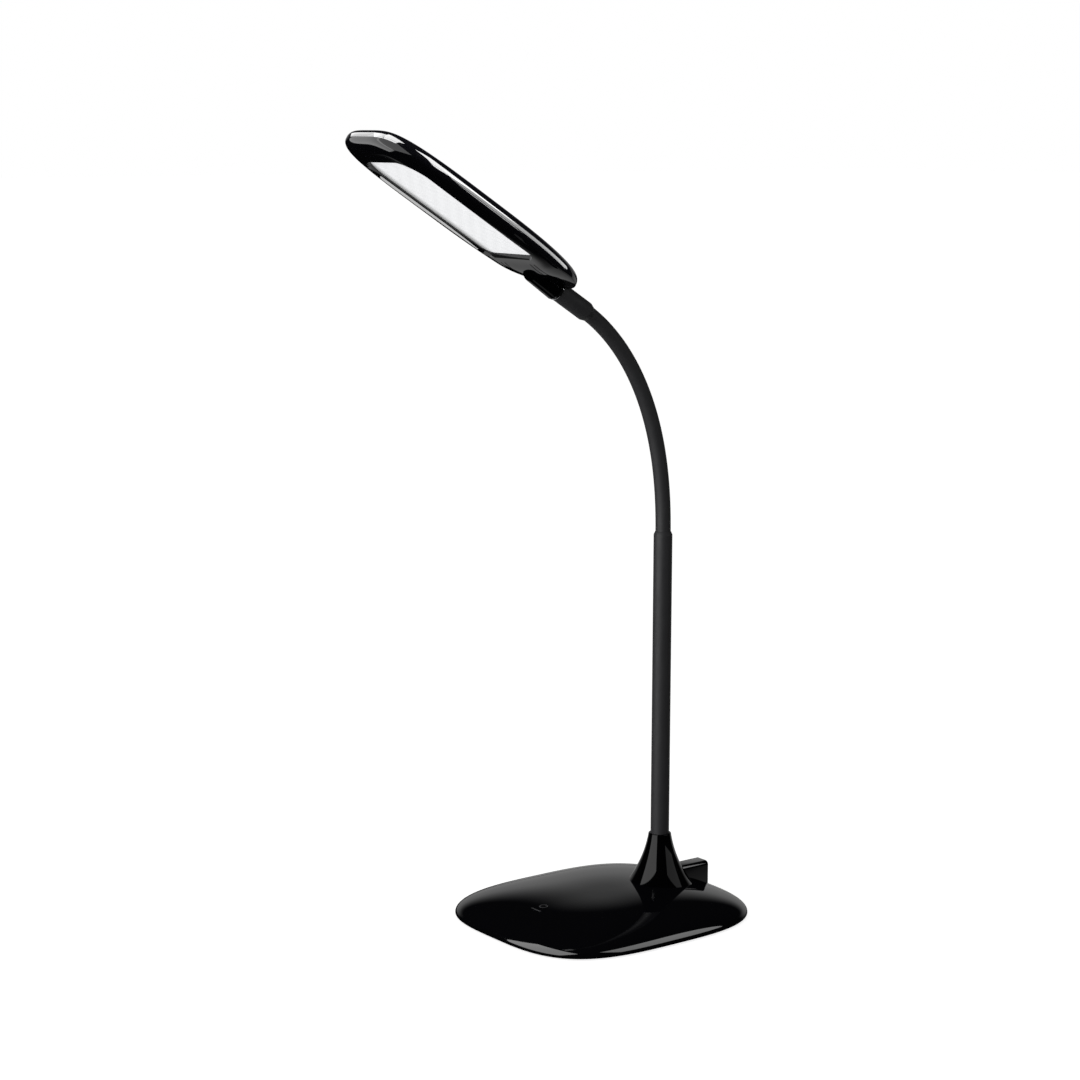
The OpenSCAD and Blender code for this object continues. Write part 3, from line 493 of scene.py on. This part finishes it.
def makeBaseShell():
    rise = base["height"] - base["rimHeight"]
    innerRings = domeRings(base["wall"], rise - base["wall"], base["innerRings"])
    tuckRings = [lifted(baseOutline(base["tuck"] * (1 - math.cos(u))),
                        base["rimHeight"] - (base["rimHeight"] - base["lip"]) * math.sin(u))
                 for u in [math.radians(a) for a in range(90, -1, -9)]]
    lip = lifted(baseOutline(base["wall"]), base["lip"])
    rings = innerRings[::-1] + [lifted(baseOutline(base["wall"]), base["rimHeight"]), lip] + tuckRings
    rings += domeRings(0, rise, base["domeRings"])
    shell = ringStack("base_cover", rings, "point", "point")

    # the housing: a block with two rounded edges, hollow, with the plug hole in its rear face
    front, rear, top, foot = inlet["front"], inlet["rear"], inlet["top"], inlet["foot"]
    block = box("housing", (2 * inlet["halfWidth"], rear - front, top - foot),
                (0, (front + rear) / 2, (top + foot) / 2))
    bpy.ops.object.mode_set(mode="EDIT")
    mesh = bmesh.from_edit_mesh(block.data)
    for edge in mesh.edges:
        a, b = edge.verts
        edge.select = min(a.co.z, b.co.z) > (top - 0.1) * mm and abs(a.co.x - b.co.x) < mm
    bpy.ops.mesh.bevel(offset=inlet["edge"] * mm, segments=10)
    mesh = bmesh.from_edit_mesh(block.data)
    bpy.ops.mesh.select_all(action="DESELECT")
    for edge in mesh.edges:
        a, b = edge.verts
        atRear = min(a.co.y, b.co.y) > (rear - 0.1) * mm and edge.calc_length() < 20 * mm
        edge.select = atRear and max(a.co.z, b.co.z) > (foot + 1) * mm
    bpy.ops.mesh.bevel(offset=inlet["rearEdge"] * mm, segments=3)
    bpy.ops.object.mode_set(mode="OBJECT")
    cut(shell, block, "UNION")
    wall, below = inlet["wall"], 2
    hollow = box("hollow", (2 * (inlet["halfWidth"] - wall), rear - front - 2 * wall, top - wall + below),
                 (0, (front + rear) / 2, (top - wall - below) / 2))
    cut(shell, hollow)
    hole = rod("hole", inlet["hole"] / 2, 4, (0, rear, inlet["holeHeight"]), (math.pi / 2, 0, 0), 96)
    cut(shell, hole)
    smooth(shell, 32)
    return shell


baseCover = makeBaseShell()
ride(baseCover, "base", glossAbs, "gloss_black", "base_shell")
print("base cover:", len(baseCover.data.polygons), "faces")


# touch symbol: a ring and a bar, printed on the dome

symbol = {
    "ringPlace": (0, -44.8), "ringOuter": 2.7, "ringInner": 2.0,
    "barPlace": (1.3, -51.3), "barLength": 8.6, "barWidth": 0.9, "ink": 0.03,
    "sunk": 0.05, "sides": 64,
}


def printOnDome(piece):
    # lays the flat print on the dome, one thin layer of ink thick
    for vert in piece.data.vertices:
        x, y, z = [c / mm for c in vert.co]
        vert.co.z = (domeHeight(x, y) + (symbol["ink"] if z > 0.5 else -symbol["sunk"])) * mm


def makeSymbol():
    x, y = symbol["ringPlace"]
    sides = symbol["sides"]
    rings = []
    for radius, level in ((symbol["ringInner"], 0), (symbol["ringInner"], 1),
                          (symbol["ringOuter"], 1), (symbol["ringOuter"], 0)):
        rings.append([Vector((x + radius * math.cos(a), y + radius * math.sin(a), level)) * mm
                      for a in [2 * math.pi * k / sides for k in range(sides)]])
    ring = ringStack("touch_ring", rings + [rings[0]], None, None)
    bar = box("touch_bar", (symbol["barLength"], symbol["barWidth"], 1), (*symbol["barPlace"], 0.5))
    bpy.ops.object.mode_set(mode="EDIT")
    bpy.ops.mesh.select_all(action="SELECT")
    bpy.ops.mesh.subdivide(number_cuts=5)
    bpy.ops.object.mode_set(mode="OBJECT")
    for piece in (ring, bar):
        printOnDome(piece)
        ride(piece, "base", printInk, "contact")


makeSymbol()


# neck: its curve, from the post's top to the ferrule

neck = {
    "length": 154.6, "bend": 58, "evenShare": 0.51, "diameter": 9.3, "links": 9,
    "steps": 360, "sides": 48, "ringsPerLink": 16,
    "tuckedIn": 1.2,                          # how far the sleeve goes into the post and the ferrule
    "ballRings": (2, 15, 30, 45, 60, 75),     # degrees from the end of a piece to the ball's tip
}
postLow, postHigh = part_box("post_tube")
postY, postTop = (postLow.y + postHigh.y) / 2 / mm, postHigh.z / mm


def leanAt(share):
    return math.radians(neck["bend"] * (neck["evenShare"] * share + (1 - neck["evenShare"]) * share ** 2))


def neckWalk():
    points = [Vector((0, postY, postTop))]
    step = neck["length"] / neck["steps"]
    for k in range(neck["steps"]):
        lean = leanAt((k + 0.5) / neck["steps"])
        points.append(points[-1] + step * Vector((0, -math.sin(lean), math.cos(lean))))
    return points


neckPoints = neckWalk()


def neckAt(share):
    # place and direction on the neck's curve; past its ends it runs straight on
    inside = min(1, max(0, share))
    lean = leanAt(inside)
    along = Vector((0, -math.sin(lean), math.cos(lean)))
    point = neckPoints[round(inside * neck["steps"])]
    return point + along * (share - inside) * neck["length"], along


def makeSleeve():
    # a piece for each body of the neck
    # its far end is a ball inside the next piece, so no gap opens in a bend
    bodies = ["base"] + [f"link_{k}" for k in range(1, neck["links"])] + ["head"]
    solids = ["sleeve_root"] + [f"sleeve_{k}" for k in range(1, neck["links"])] + ["sleeve_end"]
    last, tuckedIn = neck["links"], neck["tuckedIn"] / neck["length"]
    side, r = Vector((1, 0, 0)), neck["diameter"] / 2

    def ringAt(share, beyond=0.0, radius=r):
        centre, along = neckAt(share)
        centre = centre + beyond * along
        up = along.cross(side)
        return [(centre + radius * (math.cos(a) * side + math.sin(a) * up)) * mm
                for a in [2 * math.pi * j / neck["sides"] for j in range(neck["sides"])]]

    for k, (body, solid) in enumerate(zip(bodies, solids)):
        start = (k - 0.5) / neck["links"] if k else -tuckedIn
        end = (k + 0.5) / neck["links"] if k < last else 1 + tuckedIn
        steps = neck["ringsPerLink"]
        rings = [ringAt(start + (end - start) * i / steps) for i in range(steps + 1)]
        if k < last:
            for a in [math.radians(d) for d in neck["ballRings"]]:
                rings.append(ringAt(end, r * math.sin(a), r * math.cos(a)))
        piece = ringStack(f"sleeve_skin_{k + 1}", rings, "fill", "point" if k < last else "fill")
        smooth(piece, 40)
        ride(piece, body, sleeveRubber, "sleeve_rubber", solid)


makeSleeve()
print("sleeve made")


# post, collar, ferrule and ring

post = {"diameter": 11.4, "bore": 8.1, "chamfer": 2, "foot": 13.6}
collar = {"top": 43.5, "topRadius": 6.9, "footRadius": 20.8, "footHeight": 11.2, "curve": 70,
          "wall": 1.6, "cap": 4, "edge": 0.45, "sink": 0.8, "clearance": 0.05, "steps": 44,
          "overrun": 0.045}       # radians that the curve runs on below the dome, to be cut on its slope
ferrule = {"diameter": 11.6, "length": 24, "lip": 2.6, "taper": 3, "edge": 0.3, "bore": 8.6,
           "mouthIn": 0.6, "mouthOut": 0.15, "mouthEdge": 0.12, "shoulderEdge": 1.0}
ring = {"diameter": 12.4, "length": 2, "edge": 0.35, "bore": 8.8}


def rounded(corner, before, after, radius, steps=5):
    # points of a rounded corner between two straight runs of a profile
    corner, before, after = Vector(corner), Vector(before), Vector(after)
    a, b = (before - corner).normalized(), (after - corner).normalized()
    half = a.angle(b) / 2
    reach = radius / math.tan(half)
    centre = corner + (a + b).normalized() * radius / math.sin(half)
    start, end = corner + a * reach - centre, corner + b * reach - centre
    turn = start.angle_signed(end)
    points = []
    for k in range(steps + 1):
        s, c = math.sin(-turn * k / steps), math.cos(-turn * k / steps)
        points.append((centre.x + start.x * c - start.y * s, centre.y + start.x * s + start.y * c))
    return points


def makePost():
    r, bore, top, foot = post["diameter"] / 2, post["bore"] / 2, postTop, post["foot"]
    neckR = neck["diameter"] / 2
    shoulder = top - post["chamfer"]
    profile = [(bore, foot), (r, foot)]
    profile += rounded((r, shoulder), (r, foot), (neckR, top), 0.8)
    profile += rounded((neckR + 0.1, top), (r, shoulder), (bore, top), 0.1, 3)
    profile += [(bore, top)]
    piece = turned("post_skin", profile, 96, Matrix.Translation((0, postY * mm, 0)))
    smooth(piece, 25)
    ride(piece, "base", softTouch, "soft_touch", "post_tube")


def makeCollar():
    dx = collar["footRadius"] - collar["topRadius"]
    dz = collar["footHeight"] - collar["top"]
    chord = math.hypot(dx, dz)
    out = math.sqrt(collar["curve"] ** 2 - chord ** 2 / 4)
    cx = (collar["topRadius"] + collar["footRadius"]) / 2 - dz / chord * out
    cz = (collar["top"] + collar["footHeight"]) / 2 + dx / chord * out
    first = math.atan2(collar["footHeight"] - cz, collar["footRadius"] - cx)
    last = math.atan2(collar["top"] - cz, collar["topRadius"] - cx)
    if first < 0:
        first += 2 * math.pi
    if last < 0:
        last += 2 * math.pi
    overrun, steps = collar["overrun"], collar["steps"]
    angles = [first + overrun + (last - first - overrun) * k / steps for k in range(steps)]

    def curve(radius, a):
        return cx + radius * math.cos(a), cz + radius * math.sin(a)

    outer = [curve(collar["curve"], a) for a in angles]
    bore = post["diameter"] / 2 + collar["clearance"]
    top, r, edge = collar["top"], collar["topRadius"], collar["edge"]
    outer += rounded((r, top), outer[-1], (bore, top), edge)
    within = [(bore, top), (bore, top - collar["cap"])]
    inner = [curve(collar["curve"] + collar["wall"], a) for a in angles]
    inner = [p for p in inner if p[1] < top - collar["cap"]]
    profile = outer + within + inner[::-1]
    piece = turned("collar_skin", profile, 160, Matrix.Translation((0, postY * mm, 0)))
    foot = collar["footRadius"]
    low, high = domeHeight(0, postY + foot), domeHeight(0, postY - foot)
    bpy.context.view_layer.objects.active = piece
    bpy.ops.object.mode_set(mode="EDIT")
    bpy.ops.mesh.select_all(action="SELECT")
    bpy.ops.mesh.bisect(plane_co=(0, postY * mm, ((low + high) / 2 - collar["sink"]) * mm),
                        plane_no=(0, (high - low) / (2 * foot), 1), clear_inner=True, use_fill=True)
    bpy.ops.object.mode_set(mode="OBJECT")
    tidyMesh(piece)
    smooth(piece, 30)
    ride(piece, "base", glossAbs, "gloss_black", "neck_collar")
    return piece


makePost()
neckCollar = makeCollar()

head = {
    "length": 163.4, "width": 66.6, "thickness": 11.05, "seam": 5.2, "seamGap": 0.05,
    "frontSquare": 3.9, "rearSquare": 2.46, "topEdge": 4.6, "lowEdge": 11.5, "land": 0.6,
    "socketFace": 75.6, "socketDepth": 9.8, "swell": 1.6, "swellFrom": 41.3, "swellRun": 18,
    "rise": 4.6, "riseFrom": 47.3,
    "points": 288, "edgeRings": 14, "crownRings": 8, "sideRings": 24, "flatRings": 28,
    "crownGap": 0.01, "crownDepth": 0.45, "edgeDepth": 0.5,
    "seamWidth": 1.6, "seamSlope": 1.6,
    "swellAtEdge": 0.6, "swellGain": 2.5,     # share of the swell at the flat's edge, and its growth inwards
}
tip = neckPoints[-1]
headFrame = (Matrix.Translation(tip * mm)
             @ Matrix.Rotation(math.radians(90 + neck["bend"]), 4, "X")
             @ Matrix.Translation((0, (head["socketFace"] + ring["length"] + ferrule["length"]) * mm,
                                   -head["socketDepth"] * mm)))
# on the socket's axis: z runs forward into the head from the socket's face
socketAxis = (headFrame @ Matrix.Translation((0, -head["socketFace"] * mm, head["socketDepth"] * mm))
              @ Matrix.Rotation(-math.pi / 2, 4, "X"))


def makeFerrule():
    low, high = -ring["length"] - ferrule["length"] - ferrule["lip"], -ring["length"]
    r, neckR, bore = ferrule["diameter"] / 2, neck["diameter"] / 2, ferrule["bore"] / 2
    shoulder, mouth = low + ferrule["taper"], neckR - ferrule["mouthIn"]
    profile = [(mouth, low)]
    profile += rounded((neckR + ferrule["mouthOut"], low), (mouth, low), (r, shoulder),
                       ferrule["mouthEdge"], 3)
    profile += rounded((r, shoulder), (neckR, low), (r, high), ferrule["shoulderEdge"])
    profile += rounded((r, high), (r, low), (bore, high), ferrule["edge"])
    profile += [(bore, high), (bore, shoulder), (mouth, shoulder)]
    piece = turned("ferrule_skin", profile, 96, socketAxis)
    smooth(piece, 25)
    ride(piece, "head", softTouch, "soft_touch", "head_ferrule")


def makeRing():
    low, high, r, bore = -ring["length"], 0, ring["diameter"] / 2, ring["bore"] / 2
    profile = [(bore, low)] + rounded((r, low), (bore, low), (r, high), ring["edge"])
    profile += rounded((r, high), (r, low), (bore, high), ring["edge"]) + [(bore, high)]
    piece = turned("ring_skin", profile, 128, socketAxis)
    smooth(piece, 50)
    ride(piece, "head", chrome, "bright_chrome", "bright_ring")
    return piece


makeFerrule()
brightRing = makeRing()
print("turned pieces made")


# head: cover and frame, in the head's own axes (x across, y forward, z down out of the light face)

window = {
    "halfWidth": 24.5, "front": 63.3, "rear": 39.3, "depth": 2.9, "draft": 13,
    "cornerLength": 19, "cornerWidth": 12.5, "rearCorner": 8, "cornerSteps": 16,
}
boss = {"faceRadius": 6.6, "noseRadius": 5.8, "length": 24.5, "notch": 6.55}
grooves = {"places": (12, 15.7), "width": 0.8, "length": 14, "from": 5, "depth": 0.9}


def headOutline(inset):
    return squareOval(head["width"] / 2, head["length"] / 2, head["frontSquare"], head["rearSquare"],
                      inset, head["points"], rearIsPlus=False)


def ease(value):
    k = min(1, max(0, value))
    return k * k * (3 - 2 * k)


def swellAt(x, y):
    side = (head["width"] / 2 - abs(x)) / (head["width"] / 2 - 4)
    return head["swell"] * ease((-y - head["swellFrom"]) / head["swellRun"]) * ease(side)


def riseAt(y):
    return head["rise"] * ease((-y - head["riseFrom"]) / (head["length"] / 2 - head["riseFrom"]))


def lowRing(points, share, swellShare, scale=1.0):
    # a ring on the underside, at a share of the way down from the side's edge to the flat
    start = head["seam"] + head["land"]
    drop = head["thickness"] - start
    return [Vector((x * scale, y * scale, start + share * (drop - riseAt(y * scale))
                    + swellShare * swellAt(x * scale, y * scale))) * mm for x, y in points]


def makeHeadCover():
    # the flat crown is a piece of its own, so that the lights of the edge don't whiten it
    r, gap = head["topEdge"], head["seamGap"]
    flat, count = headOutline(r + head["crownGap"]), head["crownRings"]
    crownRings = [lifted(flat, 0, k / count) for k in range(1, count + 1)]
    crown = ringStack("head_crown", crownRings + [lifted(flat, head["crownDepth"])], "point", "fill")
    rings = [lifted(headOutline(r), head["edgeDepth"])]
    for k in range(head["edgeRings"] + 1):
        u = math.radians(90 * k / head["edgeRings"])
        rings.append(lifted(headOutline(r * (1 - math.sin(u))), r * (1 - math.cos(u))))
    rings.append(lifted(headOutline(0), head["seam"] - gap))
    rings.append(lifted(headOutline(gap * head["seamSlope"]), head["seam"]))
    rings.append(lifted(headOutline(head["seamWidth"]), head["seam"]))
    edge = ringStack("head_top", rings)
    for piece in (edge, crown):
        seat(piece, headFrame)
        tidyMesh(piece)
        smooth(piece, 30)
    ride(edge, "head", glossAbs, "gloss_black", "head_cover")
    ride(crown, "head", glossAbs, "gloss_black")
    return edge


def windowOutline(grow):
    hw, front, rear = window["halfWidth"], window["front"], window["rear"]
    long, wide, small = window["cornerLength"], window["cornerWidth"], window["rearCorner"]
    steps = window["cornerSteps"]
    corners = [(hw - wide, front - long, wide, long, 0), (wide - hw, front - long, wide, long, 90),
               (small - hw, small - rear, small, small, 180), (hw - small, small - rear, small, small, 270)]
    points = []
    for cx, cy, rx, ry, first in corners:
        for k in range(steps + 1):
            t = math.radians(first + 90 * k / steps)
            points.append((cx + (rx + grow) * math.cos(t), cy + (ry + grow) * math.sin(t)))
    return points


def makeHeadFrame():
    wide, depth, seam, gap = head["lowEdge"], head["thickness"], head["seam"], head["seamGap"]
    atEdge, gain = head["swellAtEdge"], head["swellGain"]
    rings = [lifted(headOutline(head["seamWidth"]), seam),
             lifted(headOutline(gap * head["seamSlope"]), seam), lifted(headOutline(0), seam + gap)]
    for k in range(head["sideRings"] + 1):
        u = math.radians(90 * k / head["sideRings"])
        rings.append(lowRing(headOutline(wide * (1 - math.cos(u))), math.sin(u), atEdge * math.sin(u)))
    for k in range(1, head["flatRings"] + 1):
        scale = 1 - k / (head["flatRings"] + 1.5)
        rings.append(lowRing(headOutline(wide), 1, min(1, atEdge + (1 - scale) * gain), scale))
    piece = ringStack("head_frame_skin", rings, "fill", "point")

    # the half-sunk socket for the neck: a cone with a ball nose
    bpy.ops.mesh.primitive_cone_add(radius1=boss["faceRadius"] * mm, radius2=boss["noseRadius"] * mm,
                                    depth=(boss["length"] - boss["noseRadius"]) * mm, vertices=96,
                                    location=(0, 0, (boss["length"] - boss["noseRadius"]) / 2 * mm))
    socket = bpy.context.object
    socket.name = socket.data.name = "head_socket"
    seat(socket)
    bpy.ops.mesh.primitive_uv_sphere_add(radius=boss["noseRadius"] * mm, segments=96, ring_count=48,
                                         location=(0, 0, (boss["length"] - boss["noseRadius"]) * mm))
    nose = bpy.context.object
    seat(nose)
    cut(socket, nose, "UNION")
    onHead = (Matrix.Translation((0, -head["socketFace"] * mm, head["socketDepth"] * mm))
              @ Matrix.Rotation(-math.pi / 2, 4, "X"))
    seat(socket, onHead)

    # the room that the ring and ferrule pass through, the grooves, and the light opening
    behind = head["length"] / 2 - head["socketFace"] + 3
    for part in (piece, socket):
        notch = rod("notch", boss["notch"], behind,
                    (0, -head["socketFace"] - behind / 2, head["socketDepth"]), (math.pi / 2, 0, 0), 96)
        cut(part, notch)
    tall = 8
    for x in grooves["places"]:
        for s in (-1, 1):
            y = -window["rear"] - grooves["from"] - grooves["length"] / 2
            slot = box("slot", (grooves["width"], grooves["length"], tall),
                       (s * x, y, depth + swellAt(s * x, y) - riseAt(y) + tall / 2 - grooves["depth"]))
            cut(piece, slot)
    lean = window["depth"] * math.tan(math.radians(window["draft"]))
    rim = depth + 2 * head["swell"]
    over = lean * (rim - depth) / window["depth"]
    opening = ringStack("opening", [lifted(windowOutline(-lean), 2),
                                    lifted(windowOutline(-lean), depth - window["depth"]),
                                    lifted(windowOutline(over), rim)])
    cut(piece, opening)
    for part in (piece, socket):
        seat(part, headFrame)
        tidyMesh(part)
        smooth(part, 30)
    ride(piece, "head", glossAbs, "gloss_black", "head_frame")
    ride(socket, "head", glossAbs, "gloss_black")
    return piece, socket


headTop = makeHeadCover()
headUnder, headSocket = makeHeadFrame()
opalSheet = nodes["diffuser"]
turnBack = headFrame.inverted().to_euler()
middle = headFrame.inverted().translation
dress(opalSheet, makeOpal(tuple(turnBack), tuple(middle)))
print("head made:", len(headTop.data.polygons), "and", len(headUnder.data.polygons), "faces")


# studio: a pale floor, a soft surround and softboxes

studio = {
    "floor": "#dcdcda", "floorSize": 40, "floorDrop": 0.0002, "cameraFill": 0.8,
    "ambient": 0.32,
    "black": 0.0025,                         # what gloss sees where nothing is lit
    "glow": 0.4, "glowTowards": 140,         # the soft glow low down behind the lamp, seen by gloss
    "glowFull": 20, "glowNone": 54, "glowLow": 0.19, "glowHigh": 0.4,
    "floorGlow": 0.38,                       # and the lit stretch of floor under it
}

# each side of the lit stretch of floor: axis, where it starts to fade, where it is gone, in metres
floorFades = (("Y", 0.08, -0.03), ("X", -0.02, 0.08), ("X", -0.66, -0.76))

# place and aim in metres, size across and up, level: brightness of the face; only: the pieces that it lights
softboxes = {
    "collarLeft": dict(place=(-0.05, -1.4, 0.52), aim=(0, 0.045, 0.03), size=(1.7, 1.25), level=1.2,
                       only="collar"),
    "collarRight": dict(place=(1.15, 0.75, 0.66), aim=(0, 0.045, 0.03), size=(1.3, 0.8), level=0.35,
                        only="collar"),
    "left": dict(place=(-0.05, -1.4, 0.52), aim=(0, 0.045, 0.03), size=(1.7, 1.25), level=3.5, only="matte"),
    "right": dict(place=(1.15, 0.75, 0.66), aim=(0, 0.045, 0.03), size=(1.3, 0.8), level=0.35, only="matte"),
    "rimLeft": dict(place=(-0.18, -1.22, 1.03), aim=(0.14, -0.04, 0), size=(2.35, 1.9), level=3.8,
                    only="base"),
    "rimRight": dict(place=(0.96, 0.777, 1.03), aim=(-0.08, 0.127, 0), size=(1.3, 1.1), level=2.8,
                     only="base"),
    "headSide": dict(place=(0.909, 0.432, 0.8), aim=(0.010, -0.006, 0.8), size=(0.49, 0.66), level=20,
                     only="head"),
    "headRear": dict(place=(0.672, 0.917, 0.30), aim=(-0.227, 0.479, 0.30), size=(1.25, 0.30), roll=-22,
                     level=8, only="head"),
    "headWall": dict(place=(0.955, 0.338, 0.09), aim=(0.056, -0.1, 0.09), size=(0.2, 0.17), level=11,
                     only="head"),
    "headTop": dict(place=(0.48, -0.66, 1.43), aim=(0.48, -0.66, 0.43), size=(1.35, 1.0), level=19,
                    only="head"),
    "headTopMid": dict(place=(-0.7, -0.72, 1.43), aim=(-0.7, -0.72, 0.43), size=(1.0, 0.78), roll=-8,
                       level=14, only="head"),
    "headTopLeft": dict(place=(-1.8, -0.42, 1.43), aim=(-1.8, -0.42, 0.43), size=(1.25, 0.8), roll=-13,
                        level=6, only="head"),
    "headLow": dict(place=(0.17, -0.44, 0.40), aim=(0.17, -0.1, 0.40), size=(0.70, 0.79), level=1.55,
                    only="head"),
    "headLowLeft": dict(place=(-0.22, -0.35, 0.40), aim=(-0.08, -0.1, 0.40), size=(0.26, 0.79), level=2.2,
                        only="head"),
    "ring": dict(place=(0.33, 0.64, 0.65), aim=(0, -0.04, 0.39), size=(0.24, 0.4), level=1.2, only="ring"),
}


def makeFloor():
    bpy.ops.mesh.primitive_plane_add(size=studio["floorSize"], location=(0, 0, -studio["floorDrop"]))
    floor = bpy.context.object
    floor.name = "studio_floor"
    material = bpy.data.materials.new("paleFloor")
    material.use_nodes = True
    tree = material.node_tree
    tree.nodes.clear()
    paint = addNode(tree, "ShaderNodeBsdfDiffuse", {"Color": fromHex(studio["floor"])})
    white = addNode(tree, "ShaderNodeEmission", {"Strength": studio["cameraFill"]})
    seen = addNode(tree, "ShaderNodeAddShader", links={0: paint.outputs[0], 1: white.outputs[0]})
    place = addNode(tree, "ShaderNodeTexCoord")
    parts = addNode(tree, "ShaderNodeSeparateXYZ", links={"Vector": place.outputs["Object"]}).outputs
    lit = 1.0
    for axis, start, end in floorFades:
        lit = maths(tree, "MULTIPLY", fade(tree, parts[axis], start, end, 1.0, 0.0), lit)
    glow = maths(tree, "MULTIPLY_ADD", lit, studio["floorGlow"], studio["black"])
    mirrored = addNode(tree, "ShaderNodeEmission", links={"Strength": glow})
    byRay(tree, paint, mirrored, seen, "ShaderNodeOutputMaterial")
    dress(floor, material)


def makeSurround():
    world = bpy.context.scene.world or bpy.data.worlds.new("surround")
    bpy.context.scene.world = world
    world.use_nodes = True
    tree = world.node_tree
    tree.nodes.clear()
    place = addNode(tree, "ShaderNodeTexCoord")
    parts = addNode(tree, "ShaderNodeSeparateXYZ", links={"Vector": place.outputs["Generated"]}).outputs
    level = addNode(tree, "ShaderNodeCombineXYZ", links={"X": parts["X"], "Y": parts["Y"]})
    flat = addNode(tree, "ShaderNodeVectorMath", {"operation": "NORMALIZE"}, {0: level.outputs[0]})
    towards = math.radians(studio["glowTowards"])
    facing = addNode(tree, "ShaderNodeVectorMath",
                     {"operation": "DOT_PRODUCT", 1: (math.cos(towards), math.sin(towards), 0)},
                     {0: flat.outputs[0]})
    side = fade(tree, facing.outputs["Value"], math.cos(math.radians(studio["glowNone"])),
                math.cos(math.radians(studio["glowFull"])))
    height = fade(tree, parts["Z"], studio["glowHigh"], studio["glowLow"])
    share = maths(tree, "MULTIPLY", side, height)
    glow = maths(tree, "MULTIPLY_ADD", share, studio["glow"], studio["black"])
    white = (1, 1, 1, 1)
    soft = addNode(tree, "ShaderNodeBackground", {"Color": white, "Strength": studio["ambient"]})
    mirrored = addNode(tree, "ShaderNodeBackground", {"Color": white}, {"Strength": glow})
    seen = addNode(tree, "ShaderNodeBackground", {"Color": white, "Strength": 1.0})
    byRay(tree, soft, mirrored, seen, "ShaderNodeOutputWorld")


def makeSoftbox(name, settings, groups):
    away = (Vector(settings["place"]) - Vector(settings["aim"])).normalized()
    bpy.ops.object.light_add(type="AREA", location=settings["place"])
    light = bpy.context.object
    light.name = f"softbox_{name}"
    light.rotation_mode = "QUATERNION"
    light.rotation_quaternion = (away.to_track_quat("Z", "Y")
                                 @ Quaternion((0, 0, 1), math.radians(settings.get("roll", 0))))
    light.data.shape = "RECTANGLE"
    light.data.size, light.data.size_y = settings["size"]
    light.data.energy = settings["level"] * math.pi * settings["size"][0] * settings["size"][1]
    light.visible_camera = False
    light.light_linking.receiver_collection = groups[settings["only"]]


def makeGroups():
    # the gloss pieces are lit by their own softboxes, all the rest by a pair on the left and right
    # the socket's group has no softbox: it only keeps that piece out of the pair's light
    glossPieces = {"base": [baseCover], "head": [headTop, headUnder], "ring": [brightRing],
                   "socket": [headSocket], "collar": [neckCollar]}
    own = [piece for pieces in glossPieces.values() for piece in pieces]
    glossPieces["matte"] = [piece for piece in bpy.context.scene.objects
                            if piece.type == "MESH" and piece not in own and piece.name != "studio_floor"]
    glossPieces["collar"].append(bpy.data.objects["studio_floor"])
    groups = {}
    for name, pieces in glossPieces.items():
        groups[name] = bpy.data.collections.new(f"litAs_{name}")
        for piece in pieces:
            groups[name].objects.link(piece)
    return groups


makeFloor()
makeSurround()
lightGroups = makeGroups()
for name, settings in softboxes.items():
    makeSoftbox(name, settings, lightGroups)

scene = bpy.context.scene
scene.view_settings.view_transform = "Standard"
print("studio made")
